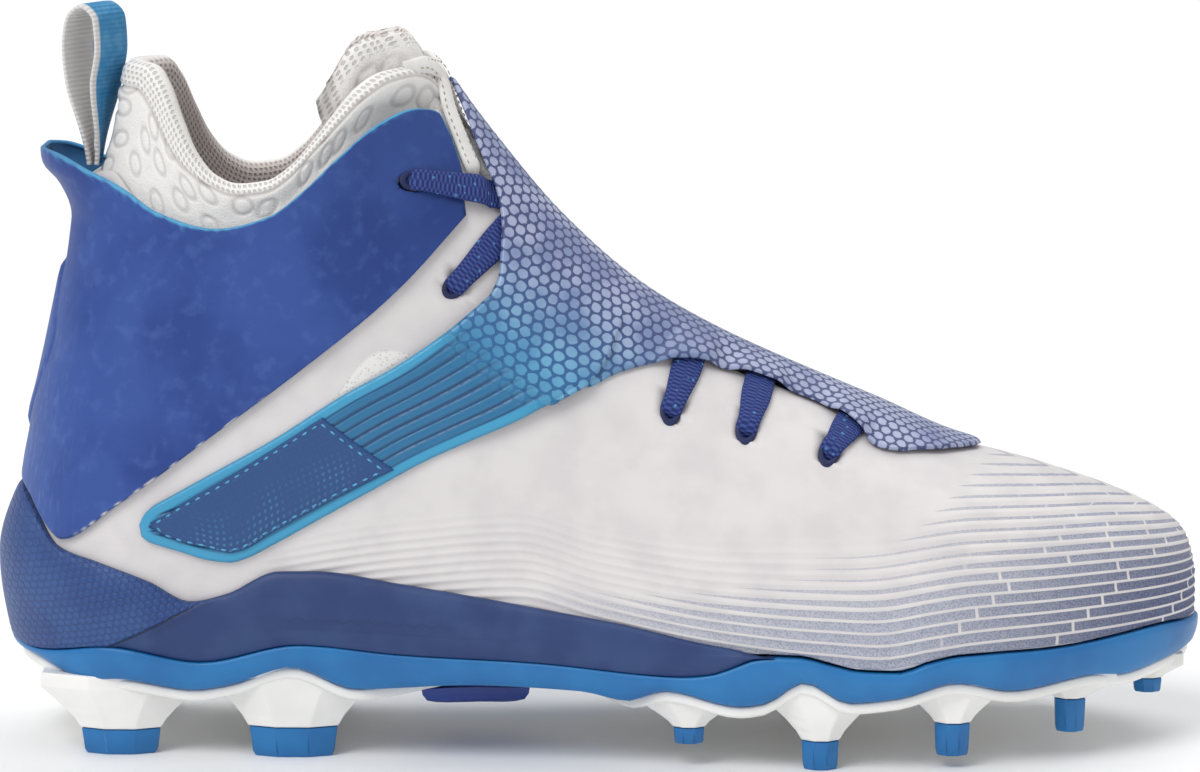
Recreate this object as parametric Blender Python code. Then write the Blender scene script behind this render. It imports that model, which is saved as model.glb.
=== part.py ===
# American football cleat, a right shoe: +X is the toe, -Y the outer side, +Z up, metres
import math

import bmesh
import bpy
import numpy as np

# Driving sizes of the last and the upper
SHOE_LENGTH = 0.292            # heel back to toe tip, over the sole rim
BALL_HALF_WIDTH = 0.0495       # half of the upper's width at the ball
FEATHER_HEIGHT = 0.0295        # floor to the upper's lower edge, at the waist
INSTEP_RISE = 0.1365           # lower edge to the top of the collar
HEEL_ROUND = 0.036             # length over which the heel rounds off in plan
UPPER_WALL = 0.0018            # thickness of the upper
LOWER_TUCK = 0.035             # share of the width that the lower edge draws in
LOWER_TUCK_HEIGHT = 0.005
ANKLE_TUCK = 0.14              # share of the width that the ankle narrows above the heel
THROAT_HALF_WIDTH = 0.013      # half of the throat, under the laces

# Overlays and lining, each measured out from the form or in from it
LAYER_GAP = 0.00045            # clearance between curved layers
SEAT_GAP = 0.0003              # clearance between flat and seated pieces
QUARTER_THICKNESS = 0.0014
PANEL_THICKNESS = 0.0010
SHROUD_THICKNESS = 0.0008
SHROUD_LIFT = 0.0019           # further lift of the shroud over the laces
SHROUD_HALF_WIDTH = 0.0280     # half of the shroud at its widest, above the straps
LABEL_THICKNESS = 0.0006
LACE_WIDTH = 0.0062
LACE_THICKNESS = 0.0013
COLLAR_THICKNESS = 0.0070
COLLAR_EDGE_THICKNESS = 0.0012  # collar wall at the throat
COLLAR_RIM_DEPTH = 0.0004      # how far the collar's outside lies inside the form above the upper
COLLAR_FRONT_GAP = 0.0010      # further clearance of the collar where the upper turns sharply
COLLAR_TAPER = 0.022           # distance back from the throat where the collar is full
TONGUE_THICKNESS = 0.0035
TONGUE_TOP_DEPTH = 0.0015      # how far the tongue's free top lies inside the form
INSOLE_THICKNESS = 0.0040
INSOLE_BED = 0.955             # lowest level that the insole lies on, a share of FEATHER_HEIGHT
TAB_FLARE = 0.0135             # how far the quarter's heel tab leans out
LOOP_WIDTH = 0.015
LOOP_THICKNESS = 0.0013
LOOP_TWIST = 32.0              # degrees that the loop turns from its base to its top

# Sole
RIM_STEP = 0.0012              # the rim's ledge outside the upper
TIP = SHOE_LENGTH - RIM_STEP   # the upper's foremost point
PLATE_THICKNESS = 0.0028
PLATE_WAIST_INSET = 0.0090     # the plate's edge stays in by this much at the waist
CUP_THICKNESS = 0.0036         # heel cup wall at its thickest
CUP_EDGE_THICKNESS = 0.0016    # heel cup wall at its top edge
MIDSOLE_END = 0.607            # share of the length where the midsole runs out
ARCH_BAR_SIZE = (0.0260, 0.0200, 0.0040)

# Counts of columns and rows
UPPER_COLUMNS = 36
UPPER_ROWS = 8
SOLE_COLUMNS = 46
STUD_SIDES = 8


class Table:
    """Rows of shares under named columns; a column is a smooth curve of the first one."""

    def __init__(self, columns, rows):
        self.columns = columns.split()
        self.rows = np.array(rows, float)

    def column(self, name):
        return self.rows[:, self.columns.index(name)]

    def curve(self, name, power=1.0):
        return smooth_curve(self.rows[:, 0], self.column(name) ** power)

    def outline(self, along="along", rise="rise"):
        """The rows as side-view points in metres."""
        return side_points(self.column(along), self.column(rise))


def smooth_curve(xs, ys):
    """A monotone cubic through the points, straight beyond both ends."""
    xs, ys = np.asarray(xs, float), np.asarray(ys, float)
    steps = np.diff(xs)
    slopes = np.diff(ys) / steps
    tangents = np.empty_like(ys)
    tangents[0], tangents[-1] = slopes[0], slopes[-1]
    before, after = slopes[:-1], slopes[1:]
    same = before * after > 0
    weight_a, weight_b = 2 * steps[1:] + steps[:-1], steps[1:] + 2 * steps[:-1]
    safe_a, safe_b = np.where(same, before, 1.0), np.where(same, after, 1.0)
    mean = (weight_a + weight_b) / (weight_a / safe_a + weight_b / safe_b)
    tangents[1:-1] = np.where(same, mean, 0.0)

    def value(x):
        x = np.asarray(x, float)
        i = np.clip(np.searchsorted(xs, x) - 1, 0, len(steps) - 1)
        t = (x - xs[i]) / steps[i]
        inside = np.clip(t, 0.0, 1.0)
        a, b = inside ** 2 * (3 - 2 * inside), inside * (1 - inside) ** 2
        c = inside ** 2 * (inside - 1)
        smooth = ys[i] * (1 - a) + ys[i + 1] * a + steps[i] * (b * tangents[i] + c * tangents[i + 1])
        straight = (t - inside) * steps[i] * np.where(t < 0, tangents[i], tangents[i + 1])
        return smooth + straight

    return value


def side_points(along, rise):
    """Side-view shares turned into metres: x from the heel, z from the floor."""
    x = np.asarray(along, float) * SHOE_LENGTH
    z = FEATHER_HEIGHT + np.asarray(rise, float) * INSTEP_RISE
    return np.stack([x, z], axis=-1)


def walk(points, shares):
    """Points at the given shares of the length of a smooth path through side-view points."""
    points = np.asarray(points, float)
    knots = np.concatenate([[0], np.cumsum(np.linalg.norm(np.diff(points, axis=0), axis=1))])
    dense = np.linspace(0, knots[-1], 400)
    path = np.stack([smooth_curve(knots, points[:, k])(dense) for k in (0, 1)], axis=-1)
    length = np.concatenate([[0], np.cumsum(np.linalg.norm(np.diff(path, axis=0), axis=1))])
    wanted = np.asarray(shares, float) * length[-1]
    return np.stack([np.interp(wanted, length, path[:, k]) for k in (0, 1)], axis=-1)


def ease(x, start, end):
    t = np.clip((np.asarray(x, float) - start) / (end - start), 0.0, 1.0)
    return t * t * (3 - 2 * t)


def end_spaced(count):
    """Shares from 0 to 1, closer together at both ends."""
    return (1 - np.cos(np.linspace(0, math.pi, count))) / 2


def heel_spaced(count):
    """Shares from 0 to 1, close together at the heel's back, where the form turns across."""
    share = np.linspace(0, 1, count)
    return share ** 2 * (1.9 - 0.9 * share)


# The last: half width and centre line are shares of BALL_HALF_WIDTH, along is a share of the length
LAST = Table("along half_width centre fullness", [
    (0.000, 0.700, 0.00, 2.2),
    (0.120, 0.700, 0.00, 2.2),
    (0.200, 0.712, -0.01, 2.0),
    (0.300, 0.720, -0.03, 1.8),
    (0.400, 0.740, -0.06, 1.65),
    (0.500, 0.808, -0.07, 1.65),
    (0.600, 0.914, -0.05, 1.75),
    (0.680, 0.985, -0.02, 1.9),
    (0.760, 1.000, 0.00, 2.0),
    (0.840, 0.905, 0.03, 2.1),
    (0.900, 0.745, 0.05, 2.2),
    (0.950, 0.530, 0.07, 2.3),
    (0.980, 0.320, 0.08, 2.3),
    (TIP / SHOE_LENGTH, 0.000, 0.08, 2.3),
])

# Height of the ridge over instep and toe, a share of INSTEP_RISE; it climbs steeply behind the throat
RIDGE = Table("along rise", [
    (0.00, 4.20),
    (0.20, 2.60),
    (0.26, 1.90),
    (0.30, 1.44),
    (0.33, 1.14),
    (0.36, 0.975),
    (0.375, 0.924),
    (0.408, 0.830),
    (0.458, 0.704),
    (0.526, 0.576),
    (0.577, 0.509),
    (0.677, 0.409),
    (0.780, 0.321),
    (0.865, 0.267),
    (0.932, 0.218),
    (0.966, 0.183),
    (0.985, 0.150),
    (0.992, 0.115),
    (0.996, 0.075),
])

# The heel's back line: rise and its place along the length
HEEL_LINE = Table("rise along", [
    (-0.20, 0.020),
    (0.00, 0.0165),
    (0.114, 0.0145),
    (0.231, 0.0245),
    (0.341, 0.033),
    (0.414, 0.042),
    (0.590, 0.0600),
    (0.700, 0.0698),
    (0.810, 0.0820),
    (0.883, 0.0945),
    (0.956, 0.104),
    (1.100, 0.118),
])

# The upper's lower edge, a share of FEATHER_HEIGHT
FEATHER = Table("along level", [
    (0.00, 1.08),
    (0.26, 1.09),
    (0.40, 1.04),
    (0.52, 1.00),
    (0.60, 0.955),
    (0.660, 0.945),
    (0.684, 0.890),
    (0.708, 0.837),
    (0.740, 0.827),
    (0.764, 0.905),
    (0.789, 0.950),
    (0.872, 0.970),
    (0.924, 1.013),
    (0.960, 1.037),
    (1.000, 1.000),
])

# The sole rim's upper line under the midsole, a share of FEATHER_HEIGHT
RIM_TOP = Table("along level", [
    (0.000, 0.88),
    (0.037, 0.82),
    (0.101, 0.905),
    (0.175, 0.797),
    (0.257, 0.949),
    (0.338, 0.885),
    (0.451, 0.841),
    (0.564, 0.763),
    (0.588, 0.786),
    (0.607, 0.850),
    (0.622, 0.915),
    (0.640, 0.945),
])

# The sole rim's wavy lower line: it lifts over every stud
RIM_LOW = Table("along level", [
    (0.000, 0.79),
    (0.034, 0.756),
    (0.084, 0.620),
    (0.109, 0.641),
    (0.170, 0.566),
    (0.198, 0.607),
    (0.250, 0.760),
    (0.302, 0.590),
    (0.400, 0.640),
    (0.484, 0.617),
    (0.522, 0.550),
    (0.552, 0.645),
    (0.612, 0.530),
    (0.632, 0.560),
    (0.664, 0.742),
    (0.700, 0.575),
    (0.740, 0.614),
    (0.785, 0.729),
    (0.834, 0.637),
    (0.900, 0.705),
    (0.928, 0.675),
    (0.961, 0.725),
    (1.000, 0.800),
])

# The heel cup's top edge, side view shares
CUP_TOP = Table("along rise", [
    (0.000, 0.236),
    (0.024, 0.233),
    (0.036, 0.210),
    (0.060, 0.149),
    (0.093, 0.129),
    (0.135, 0.098),
    (0.168, 0.064),
    (0.196, 0.077),
    (0.240, 0.119),
    (0.270, 0.120),
    (0.338, 0.100),
    (0.451, 0.062),
    (0.516, 0.039),
    (0.580, 0.010),
    (0.640, -0.010),
])

# The collar part of the upper's top edge; the throat and the ridge follow it
UPPER_TOP = Table("along rise", [
    (0.0785, 0.780),
    (0.098, 0.798),
    (0.120, 0.755),
    (0.145, 0.722),
    (0.190, 0.696),
    (0.234, 0.717),
    (0.258, 0.753),
    (0.290, 0.818),
    (0.322, 0.872),
    (0.350, 0.885),
])

# Half width of the throat along the ridge, a share of THROAT_HALF_WIDTH
THROAT = Table("along half_width", [
    (0.370, 0.62),
    (0.400, 0.92),
    (0.450, 1.00),
    (0.600, 1.00),
    (0.700, 0.86),
    (0.745, 0.60),
    (0.765, 0.34),
    (0.772, 0.00),
])

# The blue quarter: its top edge, then its lower edge along the cup and up the slanting front
QUARTER_TOP = Table("along rise", [
    (0.0890, 0.850),
    (0.100, 0.826),
    (0.120, 0.773),
    (0.145, 0.739),
    (0.190, 0.710),
    (0.234, 0.733),
    (0.258, 0.771),
    (0.290, 0.837),
    (0.322, 0.892),
    (0.345, 0.908),
    (0.362, 0.900),
    (0.371, 0.870),
    (0.378, 0.835),
    (0.385, 0.790),
])
QUARTER_LOW = Table("along rise", [
    (0.0250, 0.246),
    (0.036, 0.226),
    (0.050, 0.184),
    (0.063, 0.162),
    (0.110, 0.229),
    (0.176, 0.335),
    (0.258, 0.467),
    (0.338, 0.609),
    (0.389, 0.725),
])

# How far the quarter's tab leans back above the heel, a share of TAB_FLARE
TAB_LEAN = Table("rise lean", [
    (0.62, 0.00),
    (0.68, 0.02),
    (0.736, 0.16),
    (0.770, 0.39),
    (0.805, 0.78),
    (0.860, 1.00),
])

# The collar: rim, and the lower edge inside the upper
COLLAR_RIM = Table("along rise", [
    (0.1085, 0.990),
    (0.126, 0.988),
    (0.139, 0.960),
    (0.153, 0.900),
    (0.169, 0.838),
    (0.185, 0.802),
    (0.206, 0.786),
    (0.229, 0.790),
    (0.249, 0.812),
    (0.274, 0.862),
    (0.298, 0.912),
    (0.322, 0.955),
    (0.340, 0.966),
    (0.354, 0.958),
])
COLLAR_LOW = Table("along rise", [
    (0.066, 0.648),
    (0.103, 0.604),
    (0.205, 0.546),
    (0.291, 0.620),
    (0.350, 0.705),
    (0.392, 0.770),
])

# The tongue: its middle on the ridge and its edge, from the toe end to the top
TONGUE = Table("ridge edge edge_rise", [
    (0.745, 0.700, 0.290),
    (0.677, 0.630, 0.330),
    (0.577, 0.530, 0.405),
    (0.492, 0.450, 0.500),
    (0.425, 0.385, 0.635),
    (0.391, 0.335, 0.775),
    (0.368, 0.300, 0.880),
    (0.349, 0.279, 0.965),
])

# The shroud's body: its edge's half width along the shoe, a share of SHROUD_HALF_WIDTH
SHROUD_EDGE = Table("along half_width", [
    (0.370, 0.90),
    (0.430, 0.93),
    (0.483, 0.98),
    (0.515, 0.86),
    (0.547, 0.72),
    (0.579, 0.60),
    (0.627, 0.51),
    (0.672, 0.50),
    (0.700, 0.62),
    (0.722, 0.80),
    (0.740, 0.82),
])
# Where the body's rear and front edges lie, from the ridge at reach 0 to its side edge at 1
SHROUD_ENDS = Table("reach rear front", [
    (0.00, 0.371, 0.815),
    (0.36, 0.391, 0.811),
    (0.52, 0.406, 0.806),
    (0.72, 0.417, 0.793),
    (0.90, 0.419, 0.768),
    (1.00, 0.419, 0.728),
])
# The strap from the body down to its end: its rear edge and its front edge
STRAP = Table("reach rear rear_rise front front_rise", [
    (0.00, 0.419, 0.620, 0.500, 0.455),
    (0.12, 0.402, 0.556, 0.462, 0.418),
    (0.25, 0.358, 0.490, 0.418, 0.366),
    (0.45, 0.289, 0.399, 0.345, 0.278),
    (0.70, 0.204, 0.294, 0.262, 0.178),
    (0.88, 0.156, 0.234, 0.212, 0.131),
    (1.00, 0.132, 0.194, 0.146, 0.163),
])
LABEL_TOP = Table("along rise", [(0.140, 0.196), (0.210, 0.281), (0.282, 0.368)])
LABEL_LOW = Table("along rise", [(0.152, 0.172), (0.212, 0.146), (0.262, 0.204), (0.326, 0.298)])
HEEL_PANEL = Table("rise half_width", [
    (0.33, 0.0012),
    (0.40, 0.0062),
    (0.50, 0.0095),
    (0.57, 0.0070),
    (0.63, 0.0012),
])

# Lace holes on the side view, and where their lace crosses the ridge
LACE_CROSS_ALONG = 0.442
LACE_HOLES = {
    "top": (0.347, 0.787),
    "second": (0.382, 0.610),
}
LACE_BARS = {
    "rear": (0.557, 0.399, 0.600),
    "middle": (0.618, 0.366, 0.655),
    "front": (0.686, 0.325, 0.712),
}

# The pull loop's middle line in its own plane: back and height, in metres from its base
LOOP_LINE = [
    (-0.0008, 0.000), (-0.0018, 0.010), (-0.0030, 0.020), (-0.0037, 0.028), (-0.0027, 0.0350),
    (0.0006, 0.0380), (0.0037, 0.0350), (0.0042, 0.0280), (0.0030, 0.020), (0.0018, 0.010), (0.0008, 0.000),
]
LOOP_BASE = (0.0826, 0.800)    # along and rise of the loop's base

# Studs: place, tip size, crown is where blue meets white, ground the tip's own height, then the pedestal
STUDS = {
    #             along  across  length  width   crown   ground  foot_length foot_width
    "heel_rear": (0.1085, 0.78, 0.0192, 0.0105, 0.0063, 0.0000, 0.0390, 0.0190),
    "heel_front": (0.2500, 0.78, 0.0215, 0.0105, 0.0074, 0.0000, 0.0400, 0.0190),
    "waist": (0.5720, 0.84, 0.0075, 0.0070, 0.0096, 0.0055, 0.0250, 0.0140),
    "ball": (0.6780, 0.84, 0.0090, 0.0090, 0.0071, 0.0000, 0.0290, 0.0170),
    "middle": (0.7850, 0.83, 0.0085, 0.0085, 0.0110, 0.0030, 0.0260, 0.0160),
    "fore": (0.8840, 0.76, 0.0075, 0.0075, 0.0144, 0.0062, 0.0230, 0.0140),
    "toe": (0.9540, 0.50, 0.0070, 0.0065, 0.0156, 0.0120, 0.0180, 0.0110),
}

half_width_squared = LAST.curve("half_width", power=2.0)
centre_share = LAST.curve("centre")
fullness = LAST.curve("fullness")
ridge_rise = RIDGE.curve("rise")
heel_along = HEEL_LINE.curve("along")
feather_level = FEATHER.curve("level")
rim_top_level = RIM_TOP.curve("level")
rim_low_level = RIM_LOW.curve("level")
cup_top_rise = CUP_TOP.curve("rise")
throat_share = THROAT.curve("half_width")
tab_lean = TAB_LEAN.curve("lean")


def feather(x):
    return FEATHER_HEIGHT * feather_level(x / SHOE_LENGTH)


def ridge(x):
    return FEATHER_HEIGHT + INSTEP_RISE * ridge_rise(x / SHOE_LENGTH)


def heel_line(z):
    return SHOE_LENGTH * heel_along((z - FEATHER_HEIGHT) / INSTEP_RISE)


def centre(x):
    return BALL_HALF_WIDTH * centre_share(x / SHOE_LENGTH)


def form_square(x, z):
    """Square of the form's half width at a point of the side view."""
    height = np.maximum(z - feather(x), 0.0)
    share = height / (ridge(x) - feather(x))
    crown = 1 - share ** fullness(x / SHOE_LENGTH)
    back = (x - heel_line(z)) / HEEL_ROUND
    heel = np.where(back < 1, 1 - (1 - back) ** 2, 1.0)
    tuck = 1 - LOWER_TUCK * np.exp(-height / LOWER_TUCK_HEIGHT)
    ankle = 1 - ANKLE_TUCK * ease(z, 0.06, 0.12) * (1 - ease(x, 0.04, 0.09))
    return half_width_squared(x / SHOE_LENGTH) * BALL_HALF_WIDTH ** 2 * crown * heel * (tuck * ankle) ** 2


def form_level(x, y, z):
    """Zero on the form, negative inside."""
    return (y - centre(x)) ** 2 - form_square(x, z)


def on_form(x, z, side, offset=0.0, flat=False):
    """The form's point at a side-view place, moved out along its normal; side is -1 or 1."""
    x, z, side, offset = np.broadcast_arrays(*[np.asarray(v, float) for v in (x, z, side, offset)])
    y = centre(x) + side * np.sqrt(np.maximum(form_square(x, z), 0.0))
    step = 0.0002
    inner_x = np.minimum(x, TIP - 2 * step)
    inner_z = np.minimum(z, ridge(inner_x) - step)
    slope_x = form_level(inner_x + step, y, inner_z) - form_level(inner_x - step, y, inner_z)
    slope_y = form_level(inner_x, y + step, inner_z) - form_level(inner_x, y - step, inner_z)
    slope_z = form_level(inner_x, y, inner_z + step) - form_level(inner_x, y, inner_z - step)
    normal = np.stack([slope_x, slope_y, np.zeros_like(slope_z) if flat else slope_z], axis=-1)
    normal /= np.maximum(np.linalg.norm(normal, axis=-1, keepdims=True), 1e-12)
    return np.stack([x, y, z], axis=-1) + normal * offset[..., None]


def material(name, colour, roughness=0.6, metallic=0.0):
    made = bpy.data.materials.new(name)
    made.use_nodes = True
    shader = made.node_tree.nodes["Principled BSDF"]
    shader.inputs["Base Color"].default_value = (*[(c / 255) ** 2.2 for c in colour], 1)
    shader.inputs["Roughness"].default_value = roughness
    shader.inputs["Metallic"].default_value = metallic
    made.diffuse_color = shader.inputs["Base Color"].default_value
    return made


def add_object(name, points, faces, finish, guide=False):
    """One closed mesh from points and faces, welded, with its faces turned outwards."""
    mesh = bpy.data.meshes.new(name)
    bm = bmesh.new()
    used = set(i for face in faces for i in face)
    verts = {i: bm.verts.new(tuple(map(float, points[i]))) for i in used}
    for face in faces:
        corners = list(dict.fromkeys(verts[i] for i in face))
        if len(corners) > 2 and not bm.faces.get(corners):
            bm.faces.new(corners)
    bmesh.ops.remove_doubles(bm, verts=bm.verts, dist=0.00002)
    bmesh.ops.dissolve_degenerate(bm, dist=0.00001, edges=bm.edges)
    bmesh.ops.triangulate(bm, faces=bm.faces)
    bmesh.ops.recalc_face_normals(bm, faces=bm.faces)
    bm.to_mesh(mesh)
    bm.free()
    mesh.materials.append(finish)
    mesh.shade_smooth()
    mesh.set_sharp_from_angle(angle=math.radians(40))
    made = bpy.data.objects.new(name, mesh)
    bpy.context.scene.collection.objects.link(made)
    if guide:
        made.hide_render = True
        made.display_type = "WIRE"
    return made


def shell(outer, inner, cells=None):
    """Points and faces of the wall between two grids of columns and rows; cells marks those in use."""
    columns, rows = outer.shape[:2]
    points = outer.reshape(-1, 3)
    first_at, owner = {}, []
    for i, key in enumerate(map(tuple, np.round(points, 6))):
        owner.append(first_at.setdefault(key, i))
    lift = len(points)
    faces, edges = [], {}
    for c in range(columns - 1):
        for r in range(rows - 1):
            if cells is not None and not cells[c][r]:
                continue
            square = [c * rows + r, (c + 1) * rows + r, (c + 1) * rows + r + 1, c * rows + r + 1]
            corners = list(dict.fromkeys(owner[i] for i in square))
            if len(corners) < 3:
                continue
            faces += [corners, [i + lift for i in reversed(corners)]]
            for i, j in zip(corners, corners[1:] + corners[:1]):
                edges.setdefault(frozenset((i, j)), []).append((i, j))
    for used in edges.values():
        if len(used) == 1:
            i, j = used[0]
            faces.append([j, i, i + lift, j + lift])
    return np.concatenate([points, inner.reshape(-1, 3)]), faces


def plan_shares(count, end):
    """Shares of the way from heel to end that space the plan's outline evenly, closer at the ends."""
    z = side_height(np.array(0.01))
    start = heel_line(z)
    x = start + (end - start) * end_spaced(600)
    y = np.sqrt(np.maximum(form_square(x, side_height(x)), 0))
    near_end = 1 - ease(np.minimum(x - start, TIP - x), 0.010, 0.040)
    steps = np.hypot(np.diff(x), np.diff(y)) * (1 + 1.2 * (near_end[1:] + near_end[:-1]) / 2)
    length = np.concatenate([[0], np.cumsum(steps)])
    return (np.interp(np.linspace(0, length[-1], count), length, x) - start) / (end - start)


def both_sides(half):
    """A grid of one side from the heel forward, as one row of columns from front to front."""
    mirrored = [half(-1)[c] for c in range(half(-1).shape[0] - 1, 0, -1)]
    return np.array(mirrored + list(half(1)))


def sheared(low, high, share):
    """Points between two side-view curves, on lines that follow the heel's back line."""
    low_back, high_back = low[:, 0] - heel_line(low[:, 1]), high[:, 0] - heel_line(high[:, 1])
    z = low[:, None, 1] + (high[:, None, 1] - low[:, None, 1]) * share
    back = low_back[:, None] + (high_back - low_back)[:, None] * share
    return back + heel_line(z), z


def ridge_path(start, end, count=40):
    x = start + (end - start) * np.sin(np.linspace(0, math.pi / 2, count))
    return np.stack([x, ridge(x)], axis=-1)


def upper_top_points(shares):
    """Points of the top edge at shares of its length, and how many of them lie before the ridge."""
    collar = walk(UPPER_TOP.outline(), np.linspace(0, 1, 60))
    throat_x = np.linspace(THROAT.rows[0, 0], THROAT.rows[-1, 0], 80) * SHOE_LENGTH
    throat_half = throat_share(throat_x / SHOE_LENGTH) * THROAT_HALF_WIDTH
    throat = np.stack([throat_x, height_at(throat_x, throat_half)], axis=-1)
    total = np.concatenate([collar, throat, ridge_path(throat_x[-1], TIP)[1:]])
    knots = np.concatenate([[0], np.cumsum(np.linalg.norm(np.diff(total, axis=0), axis=1))])
    end_of_throat = knots[len(collar) + len(throat) - 1]
    first = int(np.argmin(abs(shares * knots[-1] - end_of_throat)))
    wanted = np.interp(shares, [0, shares[first], 1], [0, end_of_throat, knots[-1]])
    return np.stack([np.interp(wanted, knots, total[:, k]) for k in (0, 1)], axis=-1), first


def make_upper(finish):
    shares = plan_shares(UPPER_COLUMNS, TIP)
    top, first = upper_top_points(shares)
    heel_x = heel_line(feather(np.array(0.0)))
    low_x = heel_x + (TIP - heel_x) * shares
    low = np.stack([low_x, feather(low_x) + 2 * SEAT_GAP], axis=-1)
    low[0, 0] = heel_line(low[0, 1])
    rows = np.linspace(0, 1, UPPER_ROWS)
    rounded = np.sin(rows * math.pi / 2)
    bend = ease(np.arange(UPPER_COLUMNS), first * 0.45, first)[:, None]
    share = rows * (1 - bend) + rounded * bend
    x, z = sheared(low, top, share)
    z[first:, -1] = ridge(x[first:, -1])

    def grid(offset):
        return both_sides(lambda side: on_form(x, z, side, offset))

    return add_object("upper", *shell(grid(0.0), grid(-UPPER_WALL)), finish)


def lean_back(points):
    """The heel tab's lean: points near the middle of the heel's back move back."""
    rise = (points[..., 2] - FEATHER_HEIGHT) / INSTEP_RISE
    lean = np.maximum(tab_lean(np.clip(rise, TAB_LEAN.rows[0, 0], TAB_LEAN.rows[-1, 0])), 0.0)
    back = (points[..., 0] - heel_line(points[..., 2])) / HEEL_ROUND
    near = 1 - ease(back, 0.02, 0.42)
    moved = points.copy()
    moved[..., 0] -= TAB_FLARE * lean * near
    return moved


def make_quarter(finish):
    """The blue overlay round the heel, between its lower and upper edges."""
    shares = heel_spaced(20)
    low, high = walk(QUARTER_LOW.outline(), shares), walk(QUARTER_TOP.outline(), shares)
    x, z = sheared(low, high, np.linspace(0, 1, 7))

    def grid(offset):
        return both_sides(lambda side: lean_back(on_form(x, z, side, offset)))

    return add_object("quarter", *shell(grid(LAYER_GAP + QUARTER_THICKNESS), grid(LAYER_GAP)), finish)


def make_heel_panel(finish):
    """A raised panel on the quarter's back, a lens in plan, pointed at both ends."""
    rise = np.linspace(HEEL_PANEL.rows[0, 0], HEEL_PANEL.rows[-1, 0], 8)
    half = HEEL_PANEL.curve("half_width")(rise)
    z = FEATHER_HEIGHT + rise * INSTEP_RISE
    across = np.linspace(-1, 1, 5)
    y = half[:, None] * across
    z = np.broadcast_to(z[:, None], y.shape)
    lower, upper = np.zeros_like(y), np.full_like(y, HEEL_ROUND * 0.5)
    for _ in range(40):
        middle = (lower + upper) / 2
        wide = np.sqrt(form_square(heel_line(z) + middle, z))
        lower, upper = np.where(wide < abs(y), middle, lower), np.where(wide < abs(y), upper, middle)
    x = heel_line(z) + upper
    side = np.sign(y)
    base = LAYER_GAP + QUARTER_THICKNESS + LAYER_GAP
    outer = lean_back(on_form(x, z, side, base + PANEL_THICKNESS))
    inner = lean_back(on_form(x, z, side, base))
    return add_object("heel_panel", *shell(outer, inner), finish)


def behind_ridge(x, z):
    """How far behind the ridge a side-view point lies, level with it."""
    scan = np.linspace(0.25, 0.99, 300) * SHOE_LENGTH
    heights = ridge(scan)
    return np.interp(-z, -heights, scan) - x


def lining_depth(x, z):
    """Depth of the collar's inner face under the form."""
    edge = UPPER_WALL + 1.5 * LAYER_GAP + COLLAR_FRONT_GAP + COLLAR_EDGE_THICKNESS
    return edge + (COLLAR_THICKNESS - edge) * ease(behind_ridge(x, z), 0.004, 0.004 + COLLAR_TAPER)


def make_collar(finish):
    """The padded ring: rows up the inside of the upper to its edge, then out and up to the rim."""
    columns, low_rows, high_rows = 19, 3, 5
    shares = heel_spaced(columns)
    low, edge, rim = (walk(table.outline(), shares) for table in (COLLAR_LOW, UPPER_TOP, COLLAR_RIM))
    edge[:, 1] += 2 * LAYER_GAP
    lower, higher = np.linspace(0, 1, low_rows), np.linspace(0, 1, high_rows)
    x_low, z_low = sheared(low, edge, lower)
    x_high, z_high = sheared(edge, rim, higher[1:])
    x, z = np.concatenate([x_low, x_high], axis=1), np.concatenate([z_low, z_high], axis=1)
    swell = np.concatenate([0 * lower, ease(higher[1:], 0.22, 0.8)])
    pinch = np.concatenate([0 * lower, ease(higher[1:], 0.6, 1.0) * 0.5])
    depth = lining_depth(x, z)
    front_gap = COLLAR_FRONT_GAP * (1 - ease(behind_ridge(x, z), 0.5 * COLLAR_TAPER, 2 * COLLAR_TAPER))
    outer_depth = (UPPER_WALL + 1.5 * LAYER_GAP + front_gap) * (1 - swell) + COLLAR_RIM_DEPTH * swell
    middle = (depth + outer_depth) / 2
    outer_depth = outer_depth + (middle - outer_depth) * pinch
    depth = depth - (depth - middle) * pinch
    outer = both_sides(lambda side: on_form(x, z, side, -outer_depth))
    inner = both_sides(lambda side: on_form(x, z, side, -depth))
    return add_object("collar", *shell(outer, inner), finish)


def make_tongue(finish):
    along, across = 15, 9
    middle = walk(np.stack([TONGUE.column("ridge") * SHOE_LENGTH,
                            ridge(TONGUE.column("ridge") * SHOE_LENGTH)], axis=-1), np.linspace(0, 1, along))
    edge = walk(TONGUE.outline("edge", "edge_rise"), np.linspace(0, 1, along))
    turn = np.linspace(-1, 1, across)
    reach = turn ** 2
    x = middle[:, None, 0] + (edge - middle)[:, None, 0] * reach
    z = middle[:, None, 1] + (edge - middle)[:, None, 1] * reach
    rim = COLLAR_RIM.outline()
    free = ease(z - np.interp(x, rim[:, 0], rim[:, 1]), 0.002, 0.010)
    under_upper, under_collar = UPPER_WALL + 2 * LAYER_GAP, lining_depth(x, z) + 2 * LAYER_GAP
    depth = under_upper + (under_collar - under_upper) * ease(z, 0.094, 0.110)
    depth = depth + (TONGUE_TOP_DEPTH - depth) * free
    outer = on_form(x, z, np.sign(turn), -depth)
    inner = on_form(x, z, np.sign(turn), -depth - TONGUE_THICKNESS)
    return add_object("tongue", *shell(outer, inner), finish)


def height_at(x, half):
    """The height at which the form has a given half width, near its ridge."""
    share = half ** 2 / (half_width_squared(x / SHOE_LENGTH) * BALL_HALF_WIDTH ** 2)
    return feather(x) + (ridge(x) - feather(x)) * (1 - share) ** (1 / fullness(x / SHOE_LENGTH))


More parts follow.
